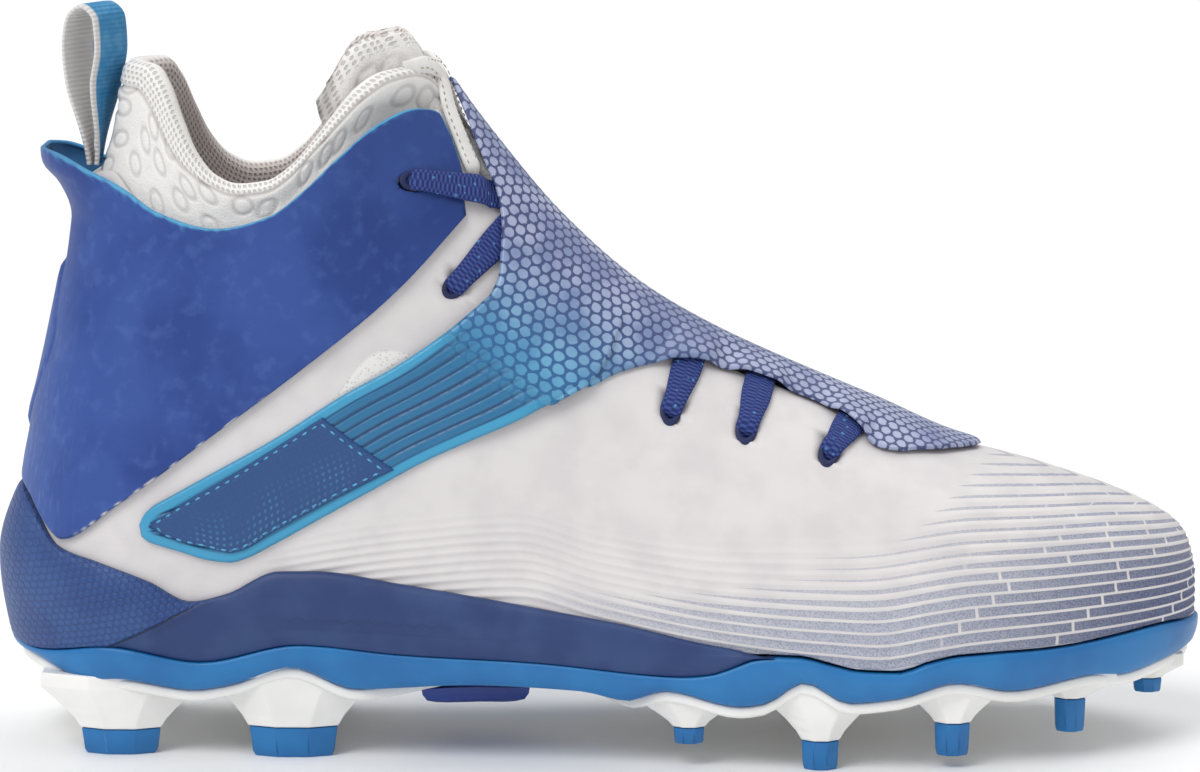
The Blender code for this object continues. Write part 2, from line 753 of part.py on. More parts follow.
def make_shroud(finish):
    """The film over the instep; columns run from the rear edge forward, rows from the ridge outward."""
    columns, body_rows, strap_rows, strap_columns = 16, 8, 9, 5
    share = np.linspace(0, 1, columns)
    across = np.linspace(0, 1, body_rows)
    rear, front = SHROUD_ENDS.curve("rear")(across), SHROUD_ENDS.curve("front")(across)
    along = rear + (front - rear) * share[:, None]
    x_body = along * SHOE_LENGTH
    limit = np.clip(along, SHROUD_EDGE.rows[0, 0], SHROUD_EDGE.rows[-1, 0])
    half = across * SHROUD_EDGE.curve("half_width")(limit) * SHROUD_HALF_WIDTH
    z_body = height_at(x_body, half)
    reach = np.linspace(0, 1, strap_rows + 1)[1:]
    table = {name: STRAP.curve(name)(reach) for name in STRAP.columns[1:]}
    strap_rear = side_points(table["rear"], table["rear_rise"])
    strap_front = side_points(table["front"], table["front_rise"])
    spread = np.clip(share * (columns - 1) / (strap_columns - 1), 0, 1)[:, None, None]
    strap = strap_rear + (strap_front - strap_rear) * spread
    x = np.concatenate([x_body, strap[..., 0]], axis=1)
    z = np.concatenate([z_body, strap[..., 1]], axis=1)
    toward_toe = 1 - 0.75 * ease(along, 0.72, 0.80)
    down_strap = np.broadcast_to(1 - ease(reach, 0.1, 0.35), (columns, strap_rows))
    lift = SHROUD_LIFT * np.concatenate([toward_toe, down_strap], axis=1)
    cells = np.ones((columns - 1, 2 * x.shape[1] - 2), bool)
    cells[strap_columns - 1:, :strap_rows] = False
    cells[strap_columns - 1:, -strap_rows:] = False

    def grid(offset):
        near, far = (on_form(x, z, side, offset + lift) for side in (-1, 1))
        return np.concatenate([near[:, :0:-1], far], axis=1)

    outer, inner = grid(LAYER_GAP + SHROUD_THICKNESS), grid(LAYER_GAP)
    return add_object("shroud", *shell(outer, inner, cells), finish)


def make_label(finish):
    shares = np.linspace(0, 1, 9)
    x, z = sheared(walk(LABEL_LOW.outline(), shares), walk(LABEL_TOP.outline(), shares), np.linspace(0, 1, 4))
    base = 2 * LAYER_GAP + SHROUD_THICKNESS
    outer, inner = on_form(x, z, -1, base + LABEL_THICKNESS), on_form(x, z, -1, base)
    return add_object("strap_label", *shell(outer, inner), finish)


def lace_strand(start, crest_along, end, over=(0.0, 0.0)):
    """One strand over the ridge, from the outer side's hole to the inner side's; over lifts its ends."""
    turn = np.linspace(-1, 1, 19 if any(over) else 11)
    crest = np.array([crest_along * SHOE_LENGTH, ridge(crest_along * SHOE_LENGTH)])
    holes = [side_points(*start), side_points(*end)]
    side_view = np.array([crest + (holes[0 if t < 0 else 1] - crest) * t * t for t in turn])
    side_view[:, 1] = np.minimum(side_view[:, 1], ridge(side_view[:, 0]))
    over = np.where(turn < 0, over[0], over[1])
    lift = LAYER_GAP + over * ease(abs(turn), 0.65, 0.75)
    low = on_form(side_view[:, 0], side_view[:, 1], np.sign(turn), lift)
    high = on_form(side_view[:, 0], side_view[:, 1], np.sign(turn), lift + LACE_THICKNESS)
    travel = np.gradient(low, axis=0)
    across = np.cross(travel, high - low)
    across *= LACE_WIDTH / 2 / np.linalg.norm(across, axis=1, keepdims=True)
    outer = np.stack([high - across * 0.8, high + across * 0.8], axis=1)
    inner = np.stack([low - across, low + across], axis=1)
    return shell(outer, inner)


def union(target, other):
    joined = target.modifiers.new("join", "BOOLEAN")
    joined.operation = "UNION"
    joined.solver = "EXACT"
    joined.object = other


def make_laces(finish):
    top, second = LACE_HOLES["top"], LACE_HOLES["second"]
    over = QUARTER_THICKNESS + 2 * LAYER_GAP
    cross = add_object("lace_cross", *lace_strand(top, LACE_CROSS_ALONG, second, (over, 0.0)), finish)
    strand = lace_strand(second, LACE_CROSS_ALONG, top, (0.0, over))
    other = add_object("lace_cross_other", *strand, finish, guide=True)
    union(cross, other)
    for place, (along, rise, crest_along) in LACE_BARS.items():
        add_object("lace_bar_" + place, *lace_strand((along, rise), crest_along, (along, rise)), finish)


def make_pull_loop(finish):
    count = 25
    line = np.array(LOOP_LINE)
    path = walk(line, np.linspace(0, 1, count))
    travel = np.gradient(path, axis=0)
    travel /= np.linalg.norm(travel, axis=1, keepdims=True)
    out = np.stack([-travel[:, 1], travel[:, 0]], axis=-1)
    base_x, base_z = side_points(*LOOP_BASE)
    grids = []
    for shift in (0.5, -0.5):
        flat = path + out * LOOP_THICKNESS * shift
        angle = np.radians(LOOP_TWIST) * ease(path[:, 1], 0.0, 0.022)
        columns = []
        for across in (-0.5, 0.5):
            narrow = 0.72 + 0.28 * ease(path[:, 1], 0.0, 0.02)
            y = across * LOOP_WIDTH * narrow
            x = flat[:, 0]
            columns.append(np.stack([base_x + x * np.cos(angle) + y * np.sin(angle),
                                     -x * np.sin(angle) + y * np.cos(angle), base_z + flat[:, 1]], axis=-1))
        grids.append(np.stack(columns, axis=1))
    return add_object("pull_loop", *shell(*grids), finish)


def plan_columns(count, form_z, offset, end=TIP, flat=True):
    """Columns round the form from front to front at a height, moved out level; form_z(x) is the height."""
    heel_x = heel_line(form_z(np.array(0.01)))
    x = heel_x + (end - heel_x) * plan_shares(count, end)
    z = form_z(x)
    x[0] = heel_line(z[0])
    distance = offset(x) if callable(offset) else offset
    return both_sides(lambda side: on_form(x, z, side, distance, flat=flat))


def slab(rows):
    """A solid from rows of plan columns, closed by strips across below and above."""
    columns, count = rows[0].shape[0], len(rows)
    points = np.stack(rows, axis=1).reshape(-1, 3)
    faces = []
    for c in range(columns - 1):
        for r in range(count - 1):
            faces.append([c * count + r, (c + 1) * count + r, (c + 1) * count + r + 1, c * count + r + 1])
    for r in (0, count - 1):
        for c in range(columns // 2):
            far = columns - 1 - c
            faces.append([c * count + r, (c + 1) * count + r, (far - 1) * count + r, far * count + r])
    for r in range(count - 1):
        faces.append([r, r + 1, (columns - 1) * count + r + 1, (columns - 1) * count + r])
    return points, faces


def rim_top(x):
    under_upper = feather(x) - SEAT_GAP
    under_midsole = FEATHER_HEIGHT * rim_top_level(x / SHOE_LENGTH)
    last = RIM_TOP.rows[-1, 0] * SHOE_LENGTH
    return np.where(x < last, np.minimum(under_midsole, under_upper), under_upper)


def rim_low(x):
    return FEATHER_HEIGHT * rim_low_level(np.clip(x / SHOE_LENGTH, 0, 1))


def plate_top(x):
    return rim_low(x) - 1.5 * SEAT_GAP


def plate_low(x):
    return plate_top(x) - PLATE_THICKNESS


def side_height(x):
    """The height at which the sole reads the form's plan."""
    return feather(x) + 0.009


def at_height(columns, height):
    """The columns with every point moved to the height that holds at its own x."""
    moved = columns.copy()
    moved[..., 2] = height(moved[..., 0])
    return moved


def make_rim(finish):
    def row(offset, share):
        plan = plan_columns(SOLE_COLUMNS, side_height, offset)
        return at_height(plan, lambda x: rim_low(x) + (rim_top(x) - rim_low(x)) * share)

    rows = [row(-0.0006, 0.0), row(0.0008, 0.3), row(RIM_STEP, 0.72), row(RIM_STEP * 0.8, 1.0)]
    return add_object("sole_rim", *slab(rows), finish)


def plate_offset(x):
    waist = ease(x, 0.088, 0.112) * (1 - ease(x, 0.140, 0.160))
    return -0.0012 - PLATE_WAIST_INSET * waist


def make_plate(finish):
    def row(extra, share):
        plan = plan_columns(SOLE_COLUMNS, side_height, lambda x: plate_offset(x) + extra)
        return at_height(plan, lambda x: plate_low(x) + PLATE_THICKNESS * share)

    plate = add_object("outsole_plate", *slab([row(-0.0012, 0.0), row(0.0, 0.55), row(0.0, 1.0)]), finish)
    union(plate, make_pedestals(finish))
    return plate


def stud_places():
    for name, row in STUDS.items():
        along, across = row[0] * SHOE_LENGTH, row[1]
        half = math.sqrt(float(form_square(np.array(along), side_height(np.array(along)))))
        for side, label in ((-1, "outer"), (1, "inner")):
            yield f"{name}_{label}", along, float(centre(along)) + side * across * half, side, row[2:]


def stud_ring(x, y, length, width, height):
    """A ring with flat sides and cut corners; height is a number or a function of x."""
    turn = (np.arange(STUD_SIDES) + 0.5) / STUD_SIDES * 2 * math.pi
    squared = 1 / np.maximum(abs(np.cos(turn)), abs(np.sin(turn)) * 1.08)
    ring_x = x + length / 2 * np.cos(turn) * squared
    ring_y = y + width / 2 * np.sin(turn) * squared
    ring_z = height(ring_x) if callable(height) else np.full(STUD_SIDES, height)
    return np.stack([ring_x, ring_y, ring_z], axis=-1)


def ring_stack(rings, caps):
    """Points and faces of a closed stack of rings; each cap is a middle point."""
    points = np.concatenate([*rings, np.array(caps)])
    faces = []
    sides, last = STUD_SIDES, len(rings) - 1
    for k in range(sides):
        n = (k + 1) % sides
        for r in range(last):
            faces.append([r * sides + k, r * sides + n, (r + 1) * sides + n, (r + 1) * sides + k])
        faces.append([k, n, (last + 1) * sides])
        faces.append([last * sides + k, last * sides + n, (last + 1) * sides + 1])
    return points, faces


def plate_middle(x):
    return plate_top(x) - PLATE_THICKNESS * 0.6


def make_pedestals(finish):
    """The flared feet of all studs, one guide that the plate takes in."""
    points, faces, count = [], [], 0
    for _, x, y, side, (length, width, crown, _, foot_length, foot_width) in stud_places():
        inward = -side * (foot_width - width) * 0.30
        rings = [stud_ring(x, y + inward, foot_length * reach, foot_width * reach, plate_middle)
                 for reach in (0.3, 0.65, 1.0)]
        middle = float(plate_middle(np.array(x)))
        for share, reach in ((0.45, 0.42), (0.78, 0.12), (1.0, 0.0)):
            size = (length + (foot_length - length) * reach, width + (foot_width - width) * reach)
            rings.append(stud_ring(x, y + inward * reach, *size, middle + (crown - middle) * share))
        caps = [(x, y + inward, middle), (x, y, crown)]
        stack_points, stack_faces = ring_stack(rings, caps)
        faces += [[i + count for i in face] for face in stack_faces]
        points.append(stack_points)
        count += len(stack_points)
    return add_object("stud_feet", np.concatenate(points), faces, finish, guide=True)


def make_stud_tips(finish):
    for name, x, y, _, (length, width, crown, ground, _, _) in stud_places():
        top = crown - SEAT_GAP
        rings = [stud_ring(x, y, length * 0.97, width * 0.96, top),
                 stud_ring(x, y, length * 0.90, width * 0.86, ground + (top - ground) * 0.16),
                 stud_ring(x, y, length * 0.84, width * 0.78, ground)]
        add_object("stud_" + name, *ring_stack(rings, [(x, y, top), (x, y, ground)]), finish)


def make_arch_bar(finish):
    """A plain bar with round ends under the arch."""
    length, width, height = ARCH_BAR_SIZE
    x, y = 0.398 * SHOE_LENGTH, float(centre(0.398 * SHOE_LENGTH)) - 0.012
    rings = []
    for share, size in ((0.0, 1.0), (0.5, 0.96), (1.0, 0.78)):
        ring = stud_ring(x, y, length * size, width * size, 0.0)
        ring[:, 2] = plate_low(ring[:, 0]) - SEAT_GAP - height * share
        rings.append(ring)
    low = float(plate_low(np.array(x))) - SEAT_GAP
    return add_object("arch_bar", *ring_stack(rings, [(x, y, low), (x, y, low - height)]), finish)


def cup_top(x):
    return FEATHER_HEIGHT + INSTEP_RISE * cup_top_rise(x / SHOE_LENGTH)


def make_midsole(finish):
    """A cup: rows up its outside, down its inside to the floor, strips across below and above."""
    end = MIDSOLE_END * SHOE_LENGTH
    shares = plan_shares(30, end)

    def top(x):
        full = np.maximum(cup_top(x), feather(x))
        return full + (floor(x) - full) * ease(x, end - 0.010, end)

    def row(base, share, offset):
        x = shares * end
        for _ in range(6):
            low = base(x)
            z = low + (top(x) - low) * share
            x = heel_line(z) + (end - heel_line(z)) * shares
        made = both_sides(lambda side: on_form(x, z, side, offset(share, x)))
        return made if share else at_height(made, base)

    def floor(x):
        return feather(x) - SEAT_GAP

    def under(x):
        return rim_top(x) + 2 * SEAT_GAP

    def outer_offset(share, x):
        swell = math.sin(math.pi * share) ** 0.8 if share < 1 else 0.0
        full = CUP_EDGE_THICKNESS + (CUP_THICKNESS - CUP_EDGE_THICKNESS) * swell
        return LAYER_GAP + full * (1 - 0.55 * ease(x, 0.10, end))

    outer = [row(under, share, outer_offset) for share in (0.0, 0.25, 0.55, 0.85, 1.0)]
    inner = [row(floor, share, lambda share, x: LAYER_GAP + 0 * x) for share in (1.0, 0.5, 0.0)]
    return add_object("midsole", *slab(outer + inner), finish)


def make_insole(finish):
    """The foam liner, level over the dip that the sole has at the ball."""
    depth = UPPER_WALL + LAYER_GAP

    def bed(x):
        return np.maximum(feather(x), FEATHER_HEIGHT * INSOLE_BED) + SEAT_GAP

    def row(extra, height):
        plan = plan_columns(34, lambda x: bed(x) + height, -depth - extra)
        return at_height(plan, lambda x: bed(x) + height)

    rows = [row(0.0011, 0.0), row(0.0009, INSOLE_THICKNESS * 0.5), row(0.0014, INSOLE_THICKNESS)]
    return add_object("insole", *slab(rows), finish)


def centre_on_origin():
    """Move everything so that the middle of the box's underside is the origin."""
    objects = list(bpy.data.objects)
    points = np.array([v.co for made in objects if not made.hide_render for v in made.data.vertices])
    low, high = points.min(axis=0), points.max(axis=0)
    for made in objects:
        made.location = (-(low[0] + high[0]) / 2, -(low[1] + high[1]) / 2, -low[2])


def build():
    for old in list(bpy.data.objects):
        bpy.data.objects.remove(old, do_unlink=True)
    white = material("white_film", (222, 218, 217), 0.55)
    royal = material("royal_quarter", (54, 83, 149), 0.6)
    navy = material("navy_foam", (51, 69, 113), 0.5)
    azure = material("azure_rubber", (50, 120, 180), 0.45)
    plate_white = material("plate_white", (226, 225, 223), 0.35)
    knit = material("white_knit", (235, 233, 232), 0.85)
    shroud_blue = material("shroud_film", (86, 108, 150), 0.4)
    label_navy = material("label_navy", (59, 93, 133), 0.5)
    lace_blue = material("lace_blue", (55, 76, 130), 0.8)
    ribbon = material("ribbon", (93, 154, 192), 0.7)
    foam = material("liner_foam", (60, 66, 80), 0.9)
    make_plate(plate_white)
    make_stud_tips(azure)
    make_rim(azure)
    make_arch_bar(azure)
    make_midsole(navy)
    make_upper(white)
    make_quarter(royal)
    make_heel_panel(royal)
    make_collar(knit)
    make_tongue(knit)
    make_insole(foam)
    make_shroud(shroud_blue)
    make_label(label_navy)
    make_laces(lace_blue)
    make_pull_loop(ribbon)
    centre_on_origin()


build()
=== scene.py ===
import math

import bmesh
import bpy
import numpy as np
from mathutils import Matrix, Vector


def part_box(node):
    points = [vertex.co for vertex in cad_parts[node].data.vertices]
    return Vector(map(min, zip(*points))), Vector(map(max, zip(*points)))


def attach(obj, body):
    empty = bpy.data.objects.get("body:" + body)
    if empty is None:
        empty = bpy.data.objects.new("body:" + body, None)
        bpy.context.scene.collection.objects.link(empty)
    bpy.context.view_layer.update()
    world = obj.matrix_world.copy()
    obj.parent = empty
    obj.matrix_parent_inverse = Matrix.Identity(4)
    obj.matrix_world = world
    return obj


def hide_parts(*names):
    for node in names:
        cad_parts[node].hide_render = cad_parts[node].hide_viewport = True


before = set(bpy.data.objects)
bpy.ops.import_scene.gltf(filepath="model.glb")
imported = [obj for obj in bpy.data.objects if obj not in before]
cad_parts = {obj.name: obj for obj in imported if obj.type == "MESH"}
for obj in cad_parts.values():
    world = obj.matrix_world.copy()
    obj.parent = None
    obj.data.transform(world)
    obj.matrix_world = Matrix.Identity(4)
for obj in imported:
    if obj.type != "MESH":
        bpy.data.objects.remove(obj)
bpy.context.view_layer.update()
print("frame loaded")

# the last and the lines drawn on it: metres, or shares of the sizes below

shoe = {
    "length": 0.292,
    "ballHalfWidth": 0.0495,
    "featherHeight": 0.0295,
    "instepRise": 0.1365,
    "heelRound": 0.036,
    "wall": 0.0018,
    "lowerTuck": 0.035,
    "lowerTuckHeight": 0.005,
    "ankleTuck": 0.14,
    "rimStep": 0.0012,
    "gap": 0.00045,   # between curved layers
    "seat": 0.0003,   # between the pieces of the sole
}
tipX = shoe["length"] - shoe["rimStep"]


def smoothCurve(xs, ys):
    # a monotone cubic, straight beyond both ends
    xs, ys = np.asarray(xs, float), np.asarray(ys, float)
    steps = np.diff(xs)
    slopes = np.diff(ys) / steps
    tangents = np.empty_like(ys)
    tangents[0], tangents[-1] = slopes[0], slopes[-1]
    before, after = slopes[:-1], slopes[1:]
    same = before * after > 0
    wa, wb = 2 * steps[1:] + steps[:-1], steps[1:] + 2 * steps[:-1]
    mean = (wa + wb) / (wa / np.where(same, before, 1.0) + wb / np.where(same, after, 1.0))
    tangents[1:-1] = np.where(same, mean, 0.0)

    def value(x):
        x = np.asarray(x, float)
        i = np.clip(np.searchsorted(xs, x) - 1, 0, len(steps) - 1)
        t = (x - xs[i]) / steps[i]
        inside = np.clip(t, 0.0, 1.0)
        a, b = inside ** 2 * (3 - 2 * inside), inside * (1 - inside) ** 2
        c = inside ** 2 * (inside - 1)
        smooth = ys[i] * (1 - a) + ys[i + 1] * a + steps[i] * (b * tangents[i] + c * tangents[i + 1])
        return smooth + (t - inside) * steps[i] * np.where(t < 0, tangents[i], tangents[i + 1])

    return value


def table(rows):
    # rows of numbers as columns
    return np.array(rows, float).T


def curve(rows):
    return smoothCurve(*table(rows))


def ease(x, start, end):
    t = np.clip((np.asarray(x, float) - start) / (end - start), 0.0, 1.0)
    return t * t * (3 - 2 * t)


lastRows = table([  # along, half width, centre, fullness
    (0.000, 0.700, 0.00, 2.2), (0.120, 0.700, 0.00, 2.2), (0.200, 0.712, -0.01, 2.0),
    (0.300, 0.720, -0.03, 1.8), (0.400, 0.740, -0.06, 1.65), (0.500, 0.808, -0.07, 1.65),
    (0.600, 0.914, -0.05, 1.75), (0.680, 0.985, -0.02, 1.9), (0.760, 1.000, 0.00, 2.0),
    (0.840, 0.905, 0.03, 2.1), (0.900, 0.745, 0.05, 2.2), (0.950, 0.530, 0.07, 2.3),
    (0.980, 0.320, 0.08, 2.3), (tipX / shoe["length"], 0.000, 0.08, 2.3),
])
halfSquareShare = smoothCurve(lastRows[0], lastRows[1] ** 2)
centreShare = smoothCurve(lastRows[0], lastRows[2])
fullness = smoothCurve(lastRows[0], lastRows[3])
ridgeRise = curve([
    (0.00, 4.20), (0.20, 2.60), (0.26, 1.90), (0.30, 1.44), (0.33, 1.14), (0.36, 0.975),
    (0.375, 0.924), (0.408, 0.830), (0.458, 0.704), (0.526, 0.576), (0.577, 0.509),
    (0.677, 0.409), (0.780, 0.321), (0.865, 0.267), (0.932, 0.218), (0.966, 0.183),
    (0.985, 0.150), (0.992, 0.115), (0.996, 0.075),
])
heelAlong = curve([
    (-0.20, 0.020), (0.00, 0.0165), (0.114, 0.0145), (0.231, 0.0245), (0.341, 0.033),
    (0.414, 0.042), (0.590, 0.0600), (0.700, 0.0698), (0.810, 0.0820), (0.883, 0.0945),
    (0.956, 0.104), (1.100, 0.118),
])
featherLevel = curve([
    (0.00, 1.08), (0.26, 1.09), (0.40, 1.04), (0.52, 1.00), (0.60, 0.955), (0.660, 0.945),
    (0.684, 0.890), (0.708, 0.837), (0.740, 0.827), (0.764, 0.905), (0.789, 0.950),
    (0.872, 0.970), (0.924, 1.013), (0.960, 1.037), (1.000, 1.000),
])
rimTopRows = table([
    (0.000, 0.88), (0.037, 0.82), (0.101, 0.905), (0.175, 0.797), (0.257, 0.949),
    (0.338, 0.885), (0.451, 0.841), (0.564, 0.763), (0.588, 0.786), (0.607, 0.850),
    (0.622, 0.915), (0.640, 0.945),
])
rimLowRows = table([
    (0.000, 0.79), (0.034, 0.756), (0.084, 0.620), (0.109, 0.641), (0.170, 0.566),
    (0.198, 0.607), (0.250, 0.760), (0.302, 0.590), (0.400, 0.640), (0.484, 0.617),
    (0.522, 0.550), (0.552, 0.645), (0.612, 0.530), (0.632, 0.560), (0.664, 0.742),
    (0.700, 0.575), (0.740, 0.614), (0.785, 0.729), (0.834, 0.637), (0.900, 0.705),
    (0.928, 0.675), (0.961, 0.725), (1.000, 0.800),
])
cupTopRows = table([
    (0.000, 0.236), (0.024, 0.233), (0.036, 0.210), (0.060, 0.149), (0.093, 0.129),
    (0.135, 0.098), (0.168, 0.064), (0.196, 0.077), (0.240, 0.119), (0.270, 0.120),
    (0.338, 0.100), (0.451, 0.062), (0.516, 0.039), (0.580, 0.010), (0.640, -0.010),
])
rimTopLevel, rimLowLevel = smoothCurve(*rimTopRows), smoothCurve(*rimLowRows)
cupTopRise = smoothCurve(*cupTopRows)


def feather(x):
    return shoe["featherHeight"] * featherLevel(x / shoe["length"])


def ridge(x):
    return shoe["featherHeight"] + shoe["instepRise"] * ridgeRise(x / shoe["length"])


def heelLine(z):
    return shoe["length"] * heelAlong((z - shoe["featherHeight"]) / shoe["instepRise"])


def centreLine(x):
    return shoe["ballHalfWidth"] * centreShare(x / shoe["length"])


def halfSquare(x, z):
    # square of the form's half width at a side-view point
    height = np.maximum(z - feather(x), 0.0)
    share = height / (ridge(x) - feather(x))
    crown = 1 - share ** fullness(x / shoe["length"])
    back = (x - heelLine(z)) / shoe["heelRound"]
    heel = np.where(back < 1, 1 - (1 - back) ** 2, 1.0)
    tuck = 1 - shoe["lowerTuck"] * np.exp(-(height / shoe["lowerTuckHeight"]) ** 1.5)
    ankle = 1 - shoe["ankleTuck"] * ease(z, 0.06, 0.12) * (1 - ease(x, 0.04, 0.09))
    widest = halfSquareShare(x / shoe["length"]) * shoe["ballHalfWidth"] ** 2
    return widest * crown * heel * (tuck * ankle) ** 2


def unit(vectors):
    return vectors / np.maximum(np.linalg.norm(vectors, axis=-1, keepdims=True), 1e-12)


def turned(a, b, angle):
    return a * np.cos(angle) - b * np.sin(angle), a * np.sin(angle) + b * np.cos(angle)


def onForm(x, z, side, offset=0.0, flat=False):
    # the form's point at a side-view place, moved out along its normal; side is -1 or 1
    x, z, side, offset = np.broadcast_arrays(*[np.asarray(v, float) for v in (x, z, side, offset)])
    y = centreLine(x) + side * np.sqrt(np.maximum(halfSquare(x, z), 0.0))
    step = 0.0002
    inX = np.minimum(x, tipX - 2 * step)
    inZ = np.minimum(z, ridge(inX) - step)

    def level(px, py, pz):
        return (py - centreLine(px)) ** 2 - halfSquare(px, pz)

    slopeX = level(inX + step, y, inZ) - level(inX - step, y, inZ)
    slopeY = level(inX, y + step, inZ) - level(inX, y - step, inZ)
    slopeZ = level(inX, y, inZ + step) - level(inX, y, inZ - step)
    normal = unit(np.stack([slopeX, slopeY, np.zeros_like(slopeZ) if flat else slopeZ], axis=-1))
    return np.stack([x, y, z], axis=-1) + normal * offset[..., None]


def sidePoints(along, rise):
    x = np.asarray(along, float) * shoe["length"]
    return np.stack([x, shoe["featherHeight"] + np.asarray(rise, float) * shoe["instepRise"]], axis=-1)


def arcLength(points):
    # metres from the first point to each one
    return np.concatenate([[0], np.cumsum(np.linalg.norm(np.diff(points, axis=0), axis=1))])


def sampled(points, knots, at):
    return np.stack([np.interp(at, knots, points[:, k]) for k in range(points.shape[1])], axis=-1)


def walk(points, shares):
    # points at shares of the length of a smooth path
    points = np.asarray(points, float)
    knots = arcLength(points)
    dense = np.linspace(0, knots[-1], 900)
    path = np.stack([smoothCurve(knots, points[:, k])(dense) for k in range(points.shape[1])], axis=-1)
    length = arcLength(path)
    return sampled(path, length, np.asarray(shares, float) * length[-1])


def sheared(low, high, share):
    # points between two side-view curves, on lines that follow the heel's back line
    lowBack, highBack = low[:, 0] - heelLine(low[:, 1]), high[:, 0] - heelLine(high[:, 1])
    z = low[:, None, 1] + (high[:, None, 1] - low[:, None, 1]) * share
    return lowBack[:, None] + (highBack - lowBack)[:, None] * share + heelLine(z), z


def mirrored(values, far=None, axis=0):
    # one side's values turned round, then the far side's; the first of each is the same
    return np.concatenate([np.flip(np.delete(values, 0, axis), axis), values if far is None else far], axis=axis)


def bothSides(half):
    return mirrored(half(-1), half(1))


def wrapped(out, back):
    # columns up the outside and down the inside
    return np.concatenate([out, back[:, -2::-1]], axis=1)


def heightAt(x, half):
    # the height at which the form has a given half width, near its ridge
    share = half ** 2 / (halfSquareShare(x / shoe["length"]) * shoe["ballHalfWidth"] ** 2)
    return feather(x) + (ridge(x) - feather(x)) * (1 - share) ** (1 / fullness(x / shoe["length"]))


def heelSpaced(count):
    share = np.linspace(0, 1, count)
    return share ** 2 * (1.9 - 0.9 * share)


def sideHeight(x):
    return feather(x) + 0.009


def planShares(count, end):
    # shares from heel to end that space the plan's outline evenly
    start = heelLine(sideHeight(0.01))
    x = start + (end - start) * (1 - np.cos(np.linspace(0, math.pi, 900))) / 2
    y = np.sqrt(np.maximum(halfSquare(x, sideHeight(x)), 0))
    nearEnd = 1 - ease(np.minimum(x - start, tipX - x), 0.010, 0.040)
    steps = np.hypot(np.diff(x), np.diff(y)) * (1 + 1.2 * (nearEnd[1:] + nearEnd[:-1]) / 2)
    length = np.concatenate([[0], np.cumsum(steps)])
    return (np.interp(np.linspace(0, length[-1], count), length, x) - start) / (end - start)


def edgeShares(count, length, width=0.0012, extra=3):
    # even shares with a few more close to both ends, for a rounded edge
    near = np.linspace(0, width / length, extra + 1)[:-1]
    return np.concatenate([near, np.linspace(width / length, 1 - width / length, count), 1 - near[::-1]])


def roundEdge(distance, radius):
    # how far a surface drops near its edge
    left = np.clip(1 - np.asarray(distance) / radius, 0, 1)
    return radius * (1 - np.sqrt(np.maximum(1 - left ** 2, 0)))


def cellField(u, v, size, jitter=0.55):
    # distance to the nearest of points jittered on a grid, in cells
    gx, gy = np.asarray(u) / size, np.asarray(v) / size
    best = np.full(np.broadcast(gx, gy).shape, 9.0)
    for di in (-1, 0, 1):
        for dj in (-1, 0, 1):
            i, j = np.floor(gx) + di, np.floor(gy) + dj
            hx = np.modf(abs(np.sin(i * 127.1 + j * 311.7)) * 43758.5453)[0]
            hy = np.modf(abs(np.sin(i * 269.5 + j * 183.3)) * 43758.5453)[0]
            px, py = i + 0.5 + (hx - 0.5) * jitter, j + 0.5 + (hy - 0.5) * jitter
            best = np.minimum(best, np.hypot(gx - px, gy - py))
    return best


# the shoe's place in the frame, read from two studs
heelStudOuter, heelStudInner = (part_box("stud_heel_rear_" + s) for s in ("outer", "inner"))
studX = 0.1085 * shoe["length"]
shift = np.array([
    (heelStudOuter[0].x + heelStudOuter[1].x) / 2 - studX,
    (heelStudOuter[0].y + heelStudInner[1].y) / 2 - float(centreLine(studX)),
    0.0,
])

# finishes


class Wire:
    # a socket that takes part in arithmetic
    def __init__(self, finish, socket):
        self.finish, self.socket = finish, socket

    def math(self, operation, *others, swapped=False):
        values = [others[0], self, *others[1:]] if swapped else [self, *others]
        return self.finish.add("ShaderNodeMath", {"operation": operation}, values)

    def __add__(self, other):
        return self.math("ADD", other)

    __radd__ = __add__

    def __mul__(self, other):
        return self.math("MULTIPLY", other)

    __rmul__ = __mul__

    def __sub__(self, other):
        return self.math("SUBTRACT", other)

    def __rsub__(self, other):
        return self.math("SUBTRACT", other, swapped=True)

    def __truediv__(self, other):
        return self.math("DIVIDE", other)

    def __pow__(self, other):
        return self.math("POWER", other)

    def __abs__(self):
        return self.math("ABSOLUTE")

    def step(self, low, high):
        return self.finish.add("ShaderNodeMapRange", {"interpolation_type": "SMOOTHSTEP"}, [self, low, high, 0.0, 1.0])


def colour(*seen):
    # 0 to 255 as seen, to the linear values that Blender takes
    return tuple(c / 255 / 12.92 if c / 255 <= 0.04045 else ((c / 255 + 0.055) / 1.055) ** 2.4 for c in seen) + (1.0,)


def darker(base, share):
    return tuple(c * share for c in base[:3]) + (1.0,)


